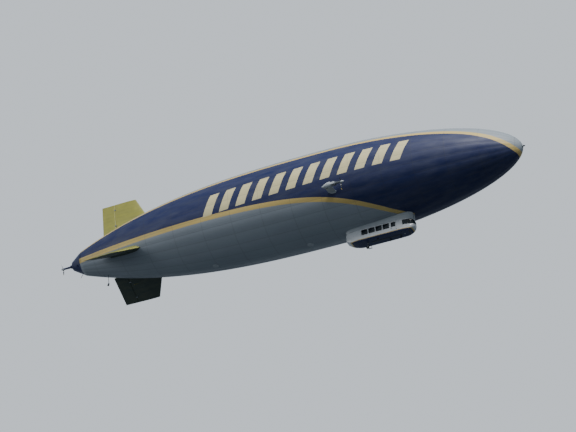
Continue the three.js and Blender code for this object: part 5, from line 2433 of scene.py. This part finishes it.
@dataclass
class Stage:
    """Plain pale floor, soft studio light and the camera that looks up at the ship."""

    azimuth: float = 20.0
    elevation: float = -31.0
    distance: float = 255.0
    lens: float = 214.0
    roll: float = -4.4
    target: Point = (-1.4, 0.0, -0.6)
    floor_drop: float = 0.6

    def build(self) -> None:
        """Places the camera first, then the floor and the lights."""
        scene = bpy.context.scene
        camera = bpy.data.cameras.new("camera")
        camera.lens = self.lens
        camera.sensor_width = 36.0
        camera.clip_start = 1.0
        camera.clip_end = 2000.0
        eye = bpy.data.objects.new("camera", camera)
        scene.collection.objects.link(eye)
        azimuth, elevation = math.radians(self.azimuth), math.radians(self.elevation)
        flat = math.cos(elevation)
        back = Vector((math.sin(azimuth) * flat, -math.cos(azimuth) * flat, math.sin(elevation)))
        eye.location = Vector(self.target) + back * self.distance
        facing = back.to_track_quat("Z", "Y").to_matrix().to_4x4()
        level = Matrix.Rotation(math.radians(self.roll), 4, "Z")
        eye.rotation_euler = (facing @ level).to_euler()
        scene.camera = eye
        self.floor(eye.location.z - self.floor_drop)
        self.surround()
        self.lights()

    def floor(self, height: float) -> None:
        """A wide pale floor just under the camera.

        Args:
            height: Its height.
        """
        form = bmesh.new()
        bmesh.ops.create_grid(form, x_segments=8, y_segments=8, size=900.0)
        move(form, (0, 0, height))
        mesh = bpy.data.meshes.new("floor")
        form.to_mesh(mesh)
        form.free()
        floor = bpy.data.objects.new("floor", mesh)
        bpy.context.scene.collection.objects.link(floor)
        matt = bpy.data.materials.new("pale_floor")
        matt.use_nodes = True
        tree = matt.node_tree
        shader = tree.nodes["Principled BSDF"]
        shader.inputs["Base Color"].default_value = linear("7d8489")
        shader.inputs["Roughness"].default_value = 0.9
        seen = add_node(tree, "Emission", {0: "ccd1d5", 1: 0.9})
        self.show_both(tree, "Material Output", shader.outputs[0], seen)
        mesh.materials.append(matt)

    def surround(self) -> None:
        """An even pale surround, seen brighter than it lights."""
        world = bpy.data.worlds.new("studio")
        world.use_nodes = True
        bpy.context.scene.world = world
        tree = world.node_tree
        lighting = tree.nodes["Background"]
        lighting.inputs[0].default_value = linear("ccd8e4")
        lighting.inputs[1].default_value = 0.5
        seen = add_node(tree, "Background", {0: "d3dbe3", 1: 1.1})
        self.show_both(tree, "World Output", lighting.outputs[0], seen)

    def show_both(self, tree: bpy.types.NodeTree, end: str, lighting: Socket, seen: Socket) -> None:
        """Shows the camera one plain brightness while another lights the ship.

        Args:
            tree: The node tree.
            end: Its last node.
            lighting: What lights the ship.
            seen: What the camera sees.
        """
        ray = add_node(tree, "LightPath", output="Is Camera Ray")
        both = add_node(tree, "MixShader", {0: ray, 1: lighting, 2: seen})
        tree.links.new(both, tree.nodes[end].inputs["Surface"])

    def lights(self) -> None:
        """One broad key from above the starboard bow and a fill from aft."""
        # Columns: name, place, size, power.
        for name, place, size, power in (
            ("key", (60.0, -70.0, 90.0), 50.0, 210000.0),
            ("fill", (-90.0, -60.0, 20.0), 60.0, 26000.0),
        ):
            lamp = bpy.data.lights.new(name, "AREA")
            lamp.size = size
            lamp.energy = power
            light = bpy.data.objects.new(name, lamp)
            light.location = place
            light.rotation_euler = Vector(place).to_track_quat("Z", "Y").to_euler()
            bpy.context.scene.collection.objects.link(light)


def main() -> None:
    """Builds the stage and every sub-assembly in order."""
    logging.basicConfig(level=logging.INFO, format="%(message)s")
    hull = Hull()
    Stage().build()
    hull.build()
    Empennage(hull).build()
    for side in Side:
        SideEngine(side).build()
    SternDrive().build()
    Gondola(hull).build()
    LandingWheel("main", station=12.5, crown=-4.87, radius=0.12, half=0.048, trail=0.06).build()
    LandingWheel("tail", station=33.35, crown=-2.29, radius=0.08, half=0.034, trail=0.045).build()


if __name__ == "__main__":
    main()
